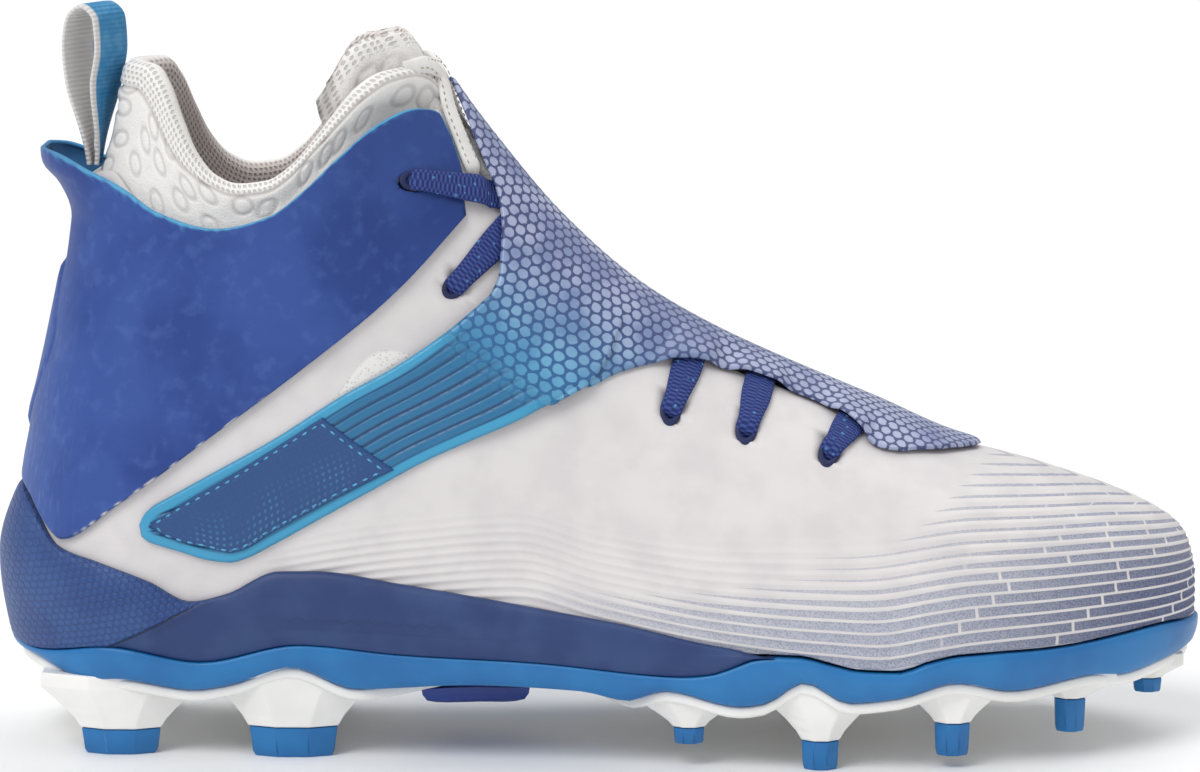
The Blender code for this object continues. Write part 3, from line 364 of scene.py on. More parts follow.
class Finish:
    def __init__(self, name, roughness=0.6, specular=0.4):
        self.material = bpy.data.materials.new(name)
        self.material.use_nodes = True
        self.tree = self.material.node_tree
        self.shader = self.tree.nodes["Principled BSDF"]
        self.shader.inputs["Roughness"].default_value = roughness
        self.shader.inputs["Specular IOR Level"].default_value = specular
        self.place = self.add("ShaderNodeTexCoord", {}, {}, "Object")
        self.uv = self.add("ShaderNodeTexCoord", {}, {}, "UV")

    def add(self, kind, settings=None, inputs=None, output=0):
        made = self.tree.nodes.new(kind)
        for key, value in (settings or {}).items():
            setattr(made, key, value)
        pairs = enumerate(inputs) if isinstance(inputs, (list, tuple)) else (inputs or {}).items()
        for key, value in pairs:
            if isinstance(value, Wire):
                self.tree.links.new(value.socket, made.inputs[key])
            else:
                made.inputs[key].default_value = value
        return Wire(self, made.outputs[output])

    def attribute(self, name, output="Fac"):
        return self.add("ShaderNodeAttribute", {"attribute_name": name}, {}, output)

    def split(self, vector):
        parts = self.tree.nodes.new("ShaderNodeSeparateXYZ")
        self.tree.links.new(vector.socket, parts.inputs[0])
        return [Wire(self, parts.outputs[k]) for k in range(3)]

    def noise(self, scale, detail=2.0, vector=None):
        return self.add("ShaderNodeTexNoise", {}, {"Vector": vector or self.place, "Scale": scale, "Detail": detail})

    def cells(self, scale):
        return self.add("ShaderNodeTexVoronoi", {}, {"Vector": self.place, "Scale": scale}, "Distance")

    def dots(self, u, v, pitch, outside, inside):
        # round dots on a square grid
        across, up = (u / pitch).math("FRACT") - 0.5, (v / pitch).math("FRACT") - 0.5
        return (across * across + up * up).math("SQRT").step(outside, inside)

    def mix(self, factor, first, second):
        return self.add("ShaderNodeMix", {"data_type": "RGBA"}, {0: factor, 6: first, 7: second}, 2)

    def hexagons(self, u, v, size):
        # distance to the middle of the nearest of six-sided cells
        px, py = u / size, v / size
        tall = math.sqrt(3)
        squares = []
        for offset in (0.0, 1.0):
            ax = (px - offset * 0.5 + 100.0).math("FRACT") - 0.5
            ay = (((py - offset * tall / 2) / tall + 100.0).math("FRACT") - 0.5) * tall
            squares.append(ax * ax + ay * ay)
        return squares[0].math("MINIMUM", squares[1]).math("SQRT")

    def bump(self, height, distance, strength=1.0, under=None):
        values = {"Strength": strength, "Distance": distance, "Height": height}
        if under:
            values["Normal"] = under
        return self.add("ShaderNodeBump", {}, values)

    def set(self, **wires):
        names = {"base": "Base Color", "rough": "Roughness", "normal": "Normal"}
        for key, value in wires.items():
            socket = self.shader.inputs[names[key]]
            if isinstance(value, Wire):
                self.tree.links.new(value.socket, socket)
            else:
                socket.default_value = value
        return self.material


def plain(name, base, roughness, specular=0.4):
    made = Finish(name, roughness, specular)
    mottle = made.noise(140.0, 3.0)
    tone = made.mix(mottle.step(0.35, 0.65), base, darker(base, 0.88))
    grain = made.noise(1800.0, 2.0)
    return made.set(base=tone, normal=made.bump(grain, 0.00012, 0.5))


def plasticFinish(name, base, dark, roughness):
    # moulded plastic: faint flow marks, a fine grain and a patchy roughness
    made = Finish(name, roughness, 0.5)
    flow = made.noise(60.0, 3.0)
    grain = made.noise(2600.0, 2.0)
    tone = made.mix(flow.step(0.35, 0.7), base, dark)
    rough = made.noise(220.0, 2.0) * 0.16 + (roughness - 0.08)
    return made.set(base=tone, rough=rough, normal=made.bump(grain, 0.00006, 0.4))


def quarterFinish():
    made = Finish("royalQuarter", 0.5, 0.35)
    cloud = made.noise(38.0, 4.0)
    fine = made.noise(260.0, 3.0)
    tone = made.mix(cloud.step(0.36, 0.62), colour(35, 63, 134), colour(49, 79, 151))
    tone = made.mix(fine.step(0.5, 0.75) * 0.35, tone, colour(74, 104, 172))
    x, y, z = made.split(made.place)
    # painted sheen: the film is painted paler towards the heel's back, where its curve catches a reflection
    back = (x + 0.150).step(0.030, 0.0)  # towards the heel's back the film looks paler
    tone = made.mix(back * 0.45, tone, colour(92, 120, 180))
    # painted shade: the film is painted darker towards the throat, by the collar
    front = (x + z * 0.9).step(0.010, 0.130)  # and darker towards the throat
    tone = made.mix(front * 0.40, tone, colour(22, 40, 90))
    tone = made.mix(made.attribute("trim") * 0.85, tone, colour(86, 172, 214))
    tone = made.mix(made.attribute("teeth"), tone, colour(226, 222, 221))
    # pale streaks within that painted sheen at the heel's back: more painted reflection
    sheenStreak = made.noise(900.0, 3.0, made.add("ShaderNodeCombineXYZ", {}, [x, y, z * 0.12]))
    tone = made.mix(back * sheenStreak.step(0.52, 0.66) * 0.4, tone, colour(134, 156, 204))
    grain = made.noise(2400.0, 2.0)
    skin = made.bump(grain, 0.00010, 0.45)
    wave = made.noise(120.0, 3.0)
    return made.set(base=tone, rough=cloud * 0.18 + 0.42, normal=made.bump(wave, 0.0006, 0.3, skin))


def vampFinish():
    # white film over mesh: u runs along the shoe in metres, v counts the flowing lines
    made = Finish("whiteVamp", 0.5, 0.35)
    u, v, _ = made.split(made.uv)
    x, _, z = made.split(made.place)
    fromLine = abs(v.math("FRACT") - 0.5) * 2.0  # 1 on a line, 0 between two
    opened = made.attribute("open")  # how much of each gap between two lines is open
    groove = (opened - fromLine).step(-0.05, 0.07) * opened.step(0.02, 0.10)
    row = v.math("FLOOR")
    spacing = 0.034 - 0.021 * row.step(5.5, 9.5)
    along = (u - row * 0.0045) / spacing
    tick = ((abs(along.math("FRACT") - 0.5) - 0.5) * spacing).step(-0.00048, -0.00034)
    shade = made.attribute("shade")
    toe = made.attribute("toe")
    film = made.noise(90.0, 3.0)
    white = made.mix(film.step(0.35, 0.7), colour(220, 216, 216), colour(211, 207, 208))
    threads = made.cells(1900.0)
    mesh = made.mix(threads.step(0.20, 0.60), colour(150, 154, 172), colour(178, 181, 194))
    darkMesh = made.mix(threads.step(0.20, 0.60), colour(72, 80, 112), colour(102, 110, 140))
    mesh = made.mix(toe, mesh, darkMesh)
    cover = groove * (1.0 - tick * toe.step(0.02, 0.2)) * shade
    tone = made.mix(cover, white, mesh)
    # a lens of open knit above the strap
    lx, lz = x - (lens["x"] + float(shift[0])), z - lens["z"]
    alongLens, acrossLens = turned(lx, lz, -math.radians(lens["turn"]))
    t = alongLens / lens["length"]
    late = t.math("MAXIMUM", 0.0) ** 1.5  # the bulge is fullest past its middle
    arch = late * (1.0 - late) * 4.0 * lens["height"]
    within = arch.math("SUBTRACT", acrossLens).step(0.0, 0.0004) * acrossLens.step(-0.0070, -0.0066) * t.step(0.0, 0.02)
    border = within * (1.0 - (arch - acrossLens).step(0.0004, 0.0009) * acrossLens.step(0.0003, 0.0008))
    knit = made.cells(1300.0).step(0.15, 0.4)
    tone = made.mix(within, tone, made.mix(knit, colour(200, 196, 194), colour(232, 230, 228)))
    # painted shade: a faint darker line along the lens's edges, where the film meets the knit
    tone = made.mix(border * 0.25, tone, colour(176, 170, 168))
    fine = made.noise(1400.0, 2.0)
    skin = made.bump(fine, 0.00008, 0.5)
    weaveBump = made.bump(threads * cover, 0.00018, 0.8, skin)
    return made.set(base=tone, rough=cover * 0.25 + 0.45, normal=weaveBump)


def knitFinish(name, base, grooveShadeAndMottle, lined):
    # padded knit: the embossed relief is in the mesh; this adds loops, painted shade in the relief's grooves, the
    # pierced rim and the lining's dots
    made = Finish(name, 0.9, 0.2)
    u, v, _ = made.split(made.uv)
    relief, seam = made.attribute("relief"), made.attribute("seam")
    lining, band = made.attribute("lining"), made.attribute("band")
    loops = made.cells(2300.0)
    soft = made.noise(300.0, 3.0)
    pitch = 0.00125
    dot = made.dots(u + (v / pitch).math("FLOOR") * (pitch / 2), v, pitch, 0.34, 0.20)
    # painted shade: the embossed ovals' outlines are painted darker; the same darker tone also mottles the loops and
    # soft patches
    tone = made.mix(relief.step(0.1, 0.9), grooveShadeAndMottle, base)
    tone = made.mix(loops.step(0.35, 0.75) * 0.25, tone, grooveShadeAndMottle)
    tone = made.mix(soft.step(0.5, 0.8) * 0.2, tone, grooveShadeAndMottle)
    tone = made.mix(dot * band * 0.55, tone, colour(176, 168, 166))
    tone = made.mix(seam * 0.5, tone, colour(160, 151, 147))
    inside = made.mix(dot, lined, colour(168, 157, 153))
    tone = made.mix(lining, tone, inside)
    pierced = dot * (band + lining)
    return made.set(base=tone, normal=made.bump(1.0 - pierced, 0.0004, 0.8, made.bump(loops, 0.0003, 0.4)))


def shroudFinish():
    # u and v in metres on the film: ribs on the strap turn into six-sided cells over the instep
    made = Finish("shroudFilm", 0.38, 0.5)
    u, v, _ = made.split(made.uv)
    net = made.hexagons(u, v, shroud["cell"]).step(0.37, 0.45)
    strap = made.attribute("strap")
    rib = made.attribute("rib")
    edge = made.attribute("edge")
    instep = made.attribute("instep")
    tint = made.noise(55.0, 3.0)
    pale = made.mix(instep, colour(96, 164, 200), colour(164, 172, 202))
    deep = made.mix(instep, colour(66, 132, 178), colour(112, 126, 170))
    lines = made.mix(instep, colour(38, 98, 152), colour(66, 76, 122))
    inside = made.mix(tint.step(0.42, 0.62) * 0.8, pale, deep)
    cellTone = made.mix(net, inside, lines)
    ribTone = made.mix(rib, colour(16, 68, 114), colour(36, 110, 155))
    tone = made.mix(strap, cellTone, ribTone)
    tone = made.mix(edge, tone, colour(60, 154, 196))
    fine = made.noise(1500.0, 2.0)
    bubble = (1.0 - net) * (1.0 - strap)
    height = made.bump(bubble, 0.00030, 0.7, made.bump(fine, 0.00006, 0.4))
    return made.set(base=tone, rough=net * 0.15 + 0.32, normal=height)


def labelFinish():
    made = Finish("labelFilm", 0.5, 0.4)
    u, v, _ = made.split(made.uv)
    dot = made.dots(u, v, 0.0016, 0.30, 0.18)
    fade = made.noise(60.0, 2.0).step(0.30, 0.50) * v.step(0.0125, 0.0060)
    tone = made.mix(dot * fade * 0.8, colour(42, 78, 130), colour(72, 126, 162))
    return made.set(base=tone, normal=made.bump(dot, 0.00012, 0.5))


def laceFinish():
    made = Finish("laceCord", 0.75, 0.3)
    u, v, _ = made.split(made.uv)
    left = ((u * 900.0 + v * 5.0).math("FRACT") - 0.5)
    right = ((u * 900.0 - v * 5.0).math("FRACT") - 0.5)
    braid = abs(left) + abs(right)
    fleck = made.cells(420.0).step(0.22, 0.08)
    tone = made.mix(braid.step(0.3, 0.8), colour(28, 44, 104), colour(66, 84, 150))
    tone = made.mix(fleck * 0.7, tone, colour(96, 160, 206))
    return made.set(base=tone, normal=made.bump(braid, 0.00035, 0.9))


def ribbonFinish():
    made = Finish("loopRibbon", 0.7, 0.3)
    v = made.split(made.uv)[1]
    ribs = (v * 5700.0).math("SINE") * 0.5 + 0.5
    face = made.attribute("face")
    worn = made.noise(300.0, 3.0).step(0.4, 0.7)
    blue = made.mix(worn, colour(56, 138, 190), colour(88, 156, 200))
    blue = made.mix(ribs * 0.3, blue, colour(36, 108, 160))
    pale = made.mix(ribs * 0.5, colour(226, 224, 222), colour(192, 190, 190))
    return made.set(base=made.mix(face, blue, pale), normal=made.bump(ribs, 0.00025, 0.6))


def foamFinish():
    # moulded foam of the cup and wedge: rows of six-sided pits at the heel, a crease and a faint zigzag
    made = Finish("navyFoam", 0.46, 0.4)
    x, _, z = made.split(made.place)
    outside = made.attribute("outside")
    fromCrease = (x - float(shift[0]) - crease["x"]) - (z - crease["z"]) * crease["lean"]
    heel = fromCrease.step(0.0004, -0.0004)
    line = abs(fromCrease).step(0.0011, 0.0002) * z.step(crease["top"], crease["top"] - 0.004) * outside
    pit = made.hexagons(x + z * 0.35, z - x * 0.2, 0.0019).step(0.30, 0.48) * heel
    tint = made.noise(70.0, 3.0)
    tone = made.mix(tint.step(0.36, 0.66), colour(38, 60, 110), colour(48, 72, 120))
    tone = made.mix(heel, tone, made.mix(tint.step(0.4, 0.6), colour(44, 74, 132), colour(54, 86, 142)))
    # painted shade: the six-sided pits are painted darker
    tone = made.mix(pit * 0.40, tone, colour(36, 58, 112))
    # painted shade: a dark line along the crease
    tone = made.mix(line * 0.8, tone, colour(22, 32, 66))
    tooth = abs((x / 0.0042).math("FRACT") - 0.5) * 0.0020
    zigzag = abs(z - tooth - zigzagPlace["z"] + (x - float(shift[0]) - zigzagPlace["x"]) * zigzagPlace["fall"])
    reach = abs(x - float(shift[0]) - zigzagPlace["x"] - zigzagPlace["half"]) / zigzagPlace["half"]
    mark = zigzag.step(0.00040, 0.00012) * reach.step(1.0, 0.55) * outside
    tone = made.mix(mark * 0.35, tone, colour(30, 44, 88))
    fine = made.noise(1500.0, 2.0)
    skin = made.bump(fine, 0.00009, 0.5)
    return made.set(base=tone, rough=tint * 0.16 + 0.40, normal=made.bump(1.0 - pit * 0.6 - line, 0.0004, 0.7, skin))


def threadFinish(name, base):
    made = Finish(name, 0.6, 0.3)
    twist = made.noise(2400.0, 1.0)
    return made.set(base=made.mix(twist.step(0.3, 0.7), base, darker(base, 0.7)), normal=made.bump(twist, 0.0001, 0.6))


# building


def sheet(name, points, uv=None, layers=None, keep=None, weld=2e-5, closed=False):
    # a grid whose vertices are moved to points[column, row]; keep masks the cells that stay
    columns, rows = points.shape[:2]
    bm = bmesh.new()
    bmesh.ops.create_grid(bm, x_segments=columns - 1, y_segments=rows - 1, size=0.5)
    bm.verts.ensure_lookup_table()
    flat = np.array([v.co[:2] for v in bm.verts]) + 0.5
    c, r = np.rint(flat[:, 0] * (columns - 1)).astype(int), np.rint(flat[:, 1] * (rows - 1)).astype(int)
    placed = (points + shift)[c, r]
    for vert, place in zip(bm.verts, placed.tolist()):
        vert.co = place
    for key, values in (layers or {}).items():
        layer = bm.verts.layers.float.new(key)
        for vert, value in zip(bm.verts, np.broadcast_to(values, (columns, rows))[c, r].tolist()):
            vert[layer] = value
    if uv is not None:
        layer = bm.loops.layers.uv.new("UVMap")
        spots = np.stack([np.broadcast_to(uv[0], (columns, rows)), np.broadcast_to(uv[1], (columns, rows))], axis=-1)
        spots = spots[c, r].tolist()
        for face in bm.faces:
            for loop in face.loops:
                loop[layer].uv = spots[loop.vert.index]
    if keep is not None:
        gone = [f for f in bm.faces
                if not keep[min(c[v.index] for v in f.verts), min(r[v.index] for v in f.verts)]]
        bmesh.ops.delete(bm, geom=gone, context="FACES")
    bmesh.ops.remove_doubles(bm, verts=bm.verts, dist=weld)
    bmesh.ops.dissolve_degenerate(bm, dist=1e-6, edges=bm.edges)
    bm.normal_update()
    if closed:
        bmesh.ops.recalc_face_normals(bm, faces=bm.faces)
    else:
        out = 0.0
        for face in bm.faces:
            middle = face.calc_center_median()
            inner = Vector((middle.x, float(centreLine(middle.x - shift[0])) + shift[1], 0.06))
            out += (middle - inner).dot(face.normal) * face.calc_area()
        if out < 0:
            bmesh.ops.reverse_faces(bm, faces=bm.faces)
    return addPiece(name, toMesh(bm, name))


def toMesh(bm, name):
    mesh = bpy.data.meshes.new(name)
    bm.to_mesh(mesh)
    bm.free()
    return mesh


def addObject(name, data):
    thing = bpy.data.objects.new(name, data)
    bpy.context.scene.collection.objects.link(thing)
    return thing


def addPiece(name, mesh):
    mesh.shade_smooth()
    return addObject(name, mesh)


def thicken(piece, thickness, rim=0, inside=0):
    made = piece.modifiers.new("wall", "SOLIDIFY")
    made.thickness = thickness
    made.offset = -1.0
    made.use_even_offset = False
    made.material_offset_rim, made.material_offset = rim, inside


def finishPiece(piece, slotName, names, *replaced, padded=None):
    for name in names:
        piece.data.materials.append(finishes[name])
    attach(piece, "root")
    if replaced:
        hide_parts(*replaced)
    return piece


def lengths(points, axis):
    # metres walked along one axis of a grid of points
    steps = np.linalg.norm(np.diff(points, axis=axis), axis=-1)
    pad = [(0, 0), (0, 0)]
    pad[axis] = (1, 0)
    return np.cumsum(np.pad(steps, pad), axis=axis)


def atHeight(columns, height):
    moved = columns.copy()
    moved[..., 2] = height(moved[..., 0])
    return moved


def planColumns(count, formZ, offset):
    heelX = heelLine(formZ(0.01))
    x = heelX + (tipX - heelX) * planShares(count, tipX)
    z = formZ(x)
    x[0] = heelLine(z[0])
    distance = offset(x) if callable(offset) else offset
    return bothSides(lambda side: onForm(x, z, side, distance, flat=True))


def toMiddle(row, share):
    # a plan row drawn in towards the middle line
    moved = row.copy()
    middle = (row[:, 1] + row[::-1, 1]) / 2
    moved[:, 1] = middle + (row[:, 1] - middle) * share
    moved[:, 0] = (row[:, 0] + row[::-1, 0]) / 2 * (1 - share) + row[:, 0] * share
    return moved


def capped(rows, shares):
    # rows of plan columns, drawn in to the middle line below and above
    low = [toMiddle(rows[0], share) for share in shares]
    high = [toMiddle(rows[-1], share) for share in shares[::-1]]
    return np.stack([*low, *rows, *high], axis=1)


def slabPiece(name, rows):
    return sheet(name, capped(rows, (0.0, 0.35, 0.7, 0.94)), closed=True)


# sole

sole = {"columns": 150, "plateThickness": 0.0028, "plateInset": 0.0012, "waistInset": 0.0150,
        "cup": 0.0036, "cupEdge": 0.0016, "midsoleEnd": 0.640, "insole": 0.0040, "insoleBed": 0.955}
archBar = {"along": 0.398, "outward": 0.012, "length": 0.026, "width": 0.020, "height": 0.004}


def rimTop(x):
    under = feather(x) - shoe["seat"]
    middle = shoe["featherHeight"] * rimTopLevel(x / shoe["length"])
    return np.where(x < rimTopRows[0][-1] * shoe["length"], np.minimum(middle, under), under)


def rimLow(x):
    return shoe["featherHeight"] * rimLowLevel(np.clip(x / shoe["length"], 0, 1))


def plateTop(x):
    return rimLow(x) - shoe["seat"]


def makeSoleRim():
    def row(offset, share):
        plan = planColumns(sole["columns"], sideHeight, offset)
        return atHeight(plan, lambda x: rimLow(x) + (rimTop(x) - rimLow(x)) * share)

    step = shoe["rimStep"]
    shape = ((-0.0010, 0.0), (-0.0002, 0.02), (0.0003, 0.08), (0.0008, 0.3), (step * 0.95, 0.55),
             (step, 0.8), (step * 0.92, 0.94), (step * 0.7, 0.99), (0.0002, 1.0))
    rim = slabPiece("soleRim", [row(*place) for place in shape])
    finishPiece(rim, "azure_rubber", ["azure"], "sole_rim")


def plateOffset(x):
    waist = ease(x, 0.088, 0.112) * (1 - ease(x, 0.140, 0.160))
    return -sole["plateInset"] - sole["waistInset"] * waist


def makePlate():
    def row(extra, share):
        plan = planColumns(sole["columns"], sideHeight, lambda x: plateOffset(x) + extra)
        return atHeight(plan, lambda x: plateTop(x) - sole["plateThickness"] * (1 - share))

    shape = ((-0.0016, 0.0), (-0.0008, 0.04), (-0.0002, 0.16), (0.0, 0.35), (0.0, 0.85), (-0.0003, 1.0))
    plate = slabPiece("outsolePlate", [row(*place) for place in shape])
    feet = studSolids("pedestals", True)
    bm = bmesh.new()
    bm.from_mesh(plate.data)
    bm.from_mesh(feet)
    bm.to_mesh(plate.data)
    bm.free()
    bpy.data.meshes.remove(feet)
    finishPiece(plate, "plate_white", ["plate"], "outsole_plate")


studRows = {  # along, across, tip's length, width, crown and ground, then the pedestal's length and width
    "heel_rear": (0.1085, 0.78, 0.0192, 0.0105, 0.0063, 0.0000, 0.0395, 0.0190),
    "heel_front": (0.2500, 0.78, 0.0215, 0.0105, 0.0074, 0.0000, 0.0440, 0.0190),
    "waist": (0.5720, 0.84, 0.0075, 0.0070, 0.0096, 0.0055, 0.0250, 0.0140),
    "ball": (0.6780, 0.84, 0.0090, 0.0090, 0.0071, 0.0000, 0.0290, 0.0170),
    "middle": (0.7850, 0.83, 0.0085, 0.0085, 0.0110, 0.0030, 0.0260, 0.0160),
    "fore": (0.8840, 0.76, 0.0075, 0.0075, 0.0144, 0.0062, 0.0230, 0.0140),
    "toe": (0.9540, 0.50, 0.0070, 0.0065, 0.0156, 0.0120, 0.0180, 0.0110),
}


def studPlaces():
    for name, row in studRows.items():
        along, across = row[0] * shoe["length"], row[1]
        half = math.sqrt(float(halfSquare(along, sideHeight(along))))
        for side, label in ((-1, "outer"), (1, "inner")):
            yield name + "_" + label, along, float(centreLine(along)) + side * across * half, side, row[2:]


def studRing(x, y, length, width, height, sides=8):
    turn = (np.arange(sides) + 0.5) / sides * 2 * math.pi
    squared = 1 / np.maximum(abs(np.cos(turn)), abs(np.sin(turn)) * 1.08)
    ringX = x + length / 2 * np.cos(turn) * squared
    ringY = y + width / 2 * np.sin(turn) * squared
    ringZ = height(ringX) if callable(height) else np.full(sides, height)
    return np.stack([ringX, ringY, ringZ], axis=-1) + shift


def addRings(bm, rings):
    # a faceted solid: one ring, extruded and moved onto each next one
    start = bmesh.ops.create_circle(bm, cap_ends=True, segments=len(rings[0]), radius=0.01)["verts"]
    face = next(f for f in bm.faces if set(f.verts) == set(start))
    for vert, place in zip(start, rings[0]):
        vert.co = place
    made = [face]
    current = start
    for ring in rings[1:]:
        grown = bmesh.ops.extrude_face_region(bm, geom=[face], use_keep_orig=len(made) == 1)
        new = [v for v in grown["geom"] if isinstance(v, bmesh.types.BMVert)]
        face = next(f for f in grown["geom"] if isinstance(f, bmesh.types.BMFace))
        order = {}
        for vert in new:
            partner = min(range(len(current)), key=lambda k: (current[k].co - vert.co).length)
            order[partner] = vert
        current = [order[k] for k in range(len(ring))]
        for vert, place in zip(current, ring):
            vert.co = place
        made.append(face)
    return made


def studSolids(name, feet, only=None):
    bm = bmesh.new()
    for label, x, y, side, (length, width, crown, ground, footLength, footWidth) in studPlaces():
        if only and label != only:
            continue
        if feet:
            # a pedestal that leans inwards and flares up into the plate
            inward = -side * (footWidth - width) * 0.30
            top = float(plateTop(x))
            rings = [studRing(x, y + inward, footLength * 0.96, footWidth * 0.98, top + 0.0008)]
            middle = top - sole["plateThickness"] * 0.7
            for share, reach in ((0.06, 0.94), (0.28, 0.68), (0.54, 0.38), (0.80, 0.13), (1.0, 0.0)):
                rings.append(studRing(x, y + inward * reach, length + (footLength - length) * reach,
                                      width + (footWidth - width) * reach, middle + (crown - middle) * share))
        else:
            top = crown - 0.0002
            rings = [studRing(x, y, length * 0.97, width * 0.96, top),
                     studRing(x, y, length * 0.90, width * 0.86, ground + (top - ground) * 0.16),
                     studRing(x, y, length * 0.84, width * 0.78, ground)]
        addRings(bm, rings)
    bmesh.ops.recalc_face_normals(bm, faces=bm.faces)
    sharp = [e for e in bm.edges if len(e.link_faces) == 2 and e.calc_face_angle() > 0.25]
    bmesh.ops.bevel(bm, geom=sharp, offset=0.00035 if feet else 0.0003, affect="EDGES", segments=2, profile=0.5,
                    material=-1, clamp_overlap=True)
    return toMesh(bm, name)


def makeStudTips():
    for label, *_ in studPlaces():
        mesh = studSolids("studTip", False, label)
        camel = "".join(part.capitalize() for part in label.split("_"))
        tip = addPiece("studTip" + camel, mesh)
        tip.data.set_sharp_from_angle(angle=math.radians(28))
        finishPiece(tip, "azure_rubber", ["azure"], "stud_" + label)


def makeArchBar():
    x = archBar["along"] * shoe["length"]
    y = float(centreLine(x)) - archBar["outward"]
    rings = []
    for share, size in ((0.0, 1.0), (0.4, 0.98), (0.8, 0.90), (1.0, 0.74)):
        def level(px):
            return plateTop(px) - sole["plateThickness"] - shoe["seat"] - archBar["height"] * share
        rings.append(studRing(x, y, archBar["length"] * size, archBar["width"] * size, level, sides=24))
    bm = bmesh.new()
    addRings(bm, rings)
    bmesh.ops.recalc_face_normals(bm, faces=bm.faces)
    bar = addPiece("archBar", toMesh(bm, "archBar"))
    bar.data.set_sharp_from_angle(angle=math.radians(50))
    finishPiece(bar, "azure_rubber", ["royalPlain"], "arch_bar")


def cupTop(x):
    return shoe["featherHeight"] + shoe["instepRise"] * cupTopRise(x / shoe["length"])


crease = {"x": 0.0300, "z": 0.0270, "lean": 1.95, "top": 0.0395}
zigzagPlace = {"x": 0.0660, "z": 0.0345, "half": 0.0250, "fall": 0.035}


def makeMidsole():
    end = sole["midsoleEnd"] * shoe["length"]
    shares = planShares(150, end)

    def floor(x):
        return feather(x) - shoe["seat"]

    def top(x):
        full = np.maximum(cupTop(x), feather(x))
        return full + (floor(x) - full) * ease(x, end - 0.010, end)

    def under(x):
        return rimTop(x) + 0.0002

    def row(base, share, offset):
        x = shares * end
        for _ in range(8):
            low = base(x)
            z = low + (top(x) - low) * share
            x = heelLine(z) + (end - heelLine(z)) * shares
        return bothSides(lambda side: onForm(x, z, side, offset(share, x, z)))

    def outerOffset(share, x, z):
        swell = math.sin(math.pi * min(share, 0.97)) ** 0.8
        full = sole["cupEdge"] + (sole["cup"] - sole["cupEdge"]) * swell
        full = full * (1 - 0.55 * ease(x, 0.10, end)) - roundEdge((1 - share) * 0.02, 0.0012) * 0.8
        # the wedge sits a little lower than the cup, beyond the crease
        fromCrease = x - crease["x"] - (z - crease["z"]) * crease["lean"]
        return shoe["gap"] + full - ease(fromCrease, -0.001, 0.003) * (1 - ease(x, 0.050, 0.090)) * 0.0008

    shareRows = [0.0, 0.02, 0.06, *np.linspace(0.11, 0.93, 44), 0.96, 0.98, 0.995, 1.0]
    outer = [row(under, share, outerOffset) for share in shareRows]
    inner = [row(floor, share, lambda share, x, z: shoe["gap"] * 0.6 + 0 * x) for share in (1.0, 0.5, 0.0)]
    points = capped(outer + inner, (0.0, 0.5))
    outside = (points[..., 1] < centreLine(points[..., 0])).astype(float)
    piece = sheet("midsole", points, None, {"outside": outside}, closed=True)
    finishPiece(piece, "navy_foam", ["foam"], "midsole")


def makeInsole():
    depth = shoe["wall"] + shoe["gap"]

    def bed(x):
        return np.maximum(feather(x), shoe["featherHeight"] * sole["insoleBed"]) + shoe["seat"]

    def row(extra, height):
        plan = planColumns(90, lambda x: bed(x) + height, -depth - extra)
        return atHeight(plan, lambda x: bed(x) + height)

    shape = ((0.0011, 0.0), (0.0008, 0.2), (0.0008, 0.8), (0.0012, 0.95), (0.0018, 1.0))
    rows = [row(extra, share * sole["insole"]) for extra, share in shape]
    piece = slabPiece("insole", rows)
    finishPiece(piece, "liner_foam", ["liner"], "insole", padded=0.5)


# upper

upperTopRows = table([
    (0.0785, 0.780), (0.098, 0.798), (0.120, 0.755), (0.145, 0.722), (0.190, 0.696), (0.234, 0.717),
    (0.258, 0.753), (0.290, 0.818), (0.322, 0.872), (0.350, 0.885),
])
throatRows = table([
    (0.370, 0.62), (0.400, 0.92), (0.450, 1.00), (0.600, 1.00), (0.700, 0.86), (0.745, 0.60),
    (0.765, 0.34), (0.772, 0.00),
])
throatHalfWidth = 0.013
laceHoles = {  # side-view shares of each hole, half length, half width and its turn
    "top": (0.347, 0.787, 0.0034, 0.0022, -8.0),
    "second": (0.382, 0.610, 0.0034, 0.0024, 42.0),
    "rear": (0.557, 0.399, 0.0036, 0.0024, 78.0),
    "middle": (0.618, 0.366, 0.0036, 0.0024, 80.0),
    "front": (0.686, 0.325, 0.0034, 0.0024, 60.0),
}
# the flowing lines of the vamp: their lowest and their tenth line, metres up the side view
flowLow = curve([
    (0.000, 0.0240), (0.050, 0.0300), (0.068, 0.0325), (0.100, 0.0368), (0.127, 0.0388), (0.146, 0.0346),
    (0.169, 0.0300), (0.186, 0.0276), (0.200, 0.0262), (0.212, 0.0252), (0.224, 0.0272), (0.234, 0.0284),
    (0.262, 0.0295), (0.292, 0.0303),
])
flowTop = curve([
    (0.000, 0.0400), (0.050, 0.0490), (0.068, 0.0525), (0.100, 0.0580), (0.127, 0.0606), (0.146, 0.0560),
    (0.175, 0.0530), (0.204, 0.0535), (0.234, 0.0570), (0.262, 0.0565), (0.292, 0.0535),
])
lens = {"x": 0.0817, "z": 0.0858, "turn": 28.8, "length": 0.0230, "height": 0.0052}
flow = {"lines": 12, "rowsPerLine": 6, "rise": 0.00032, "inward": 0.22}


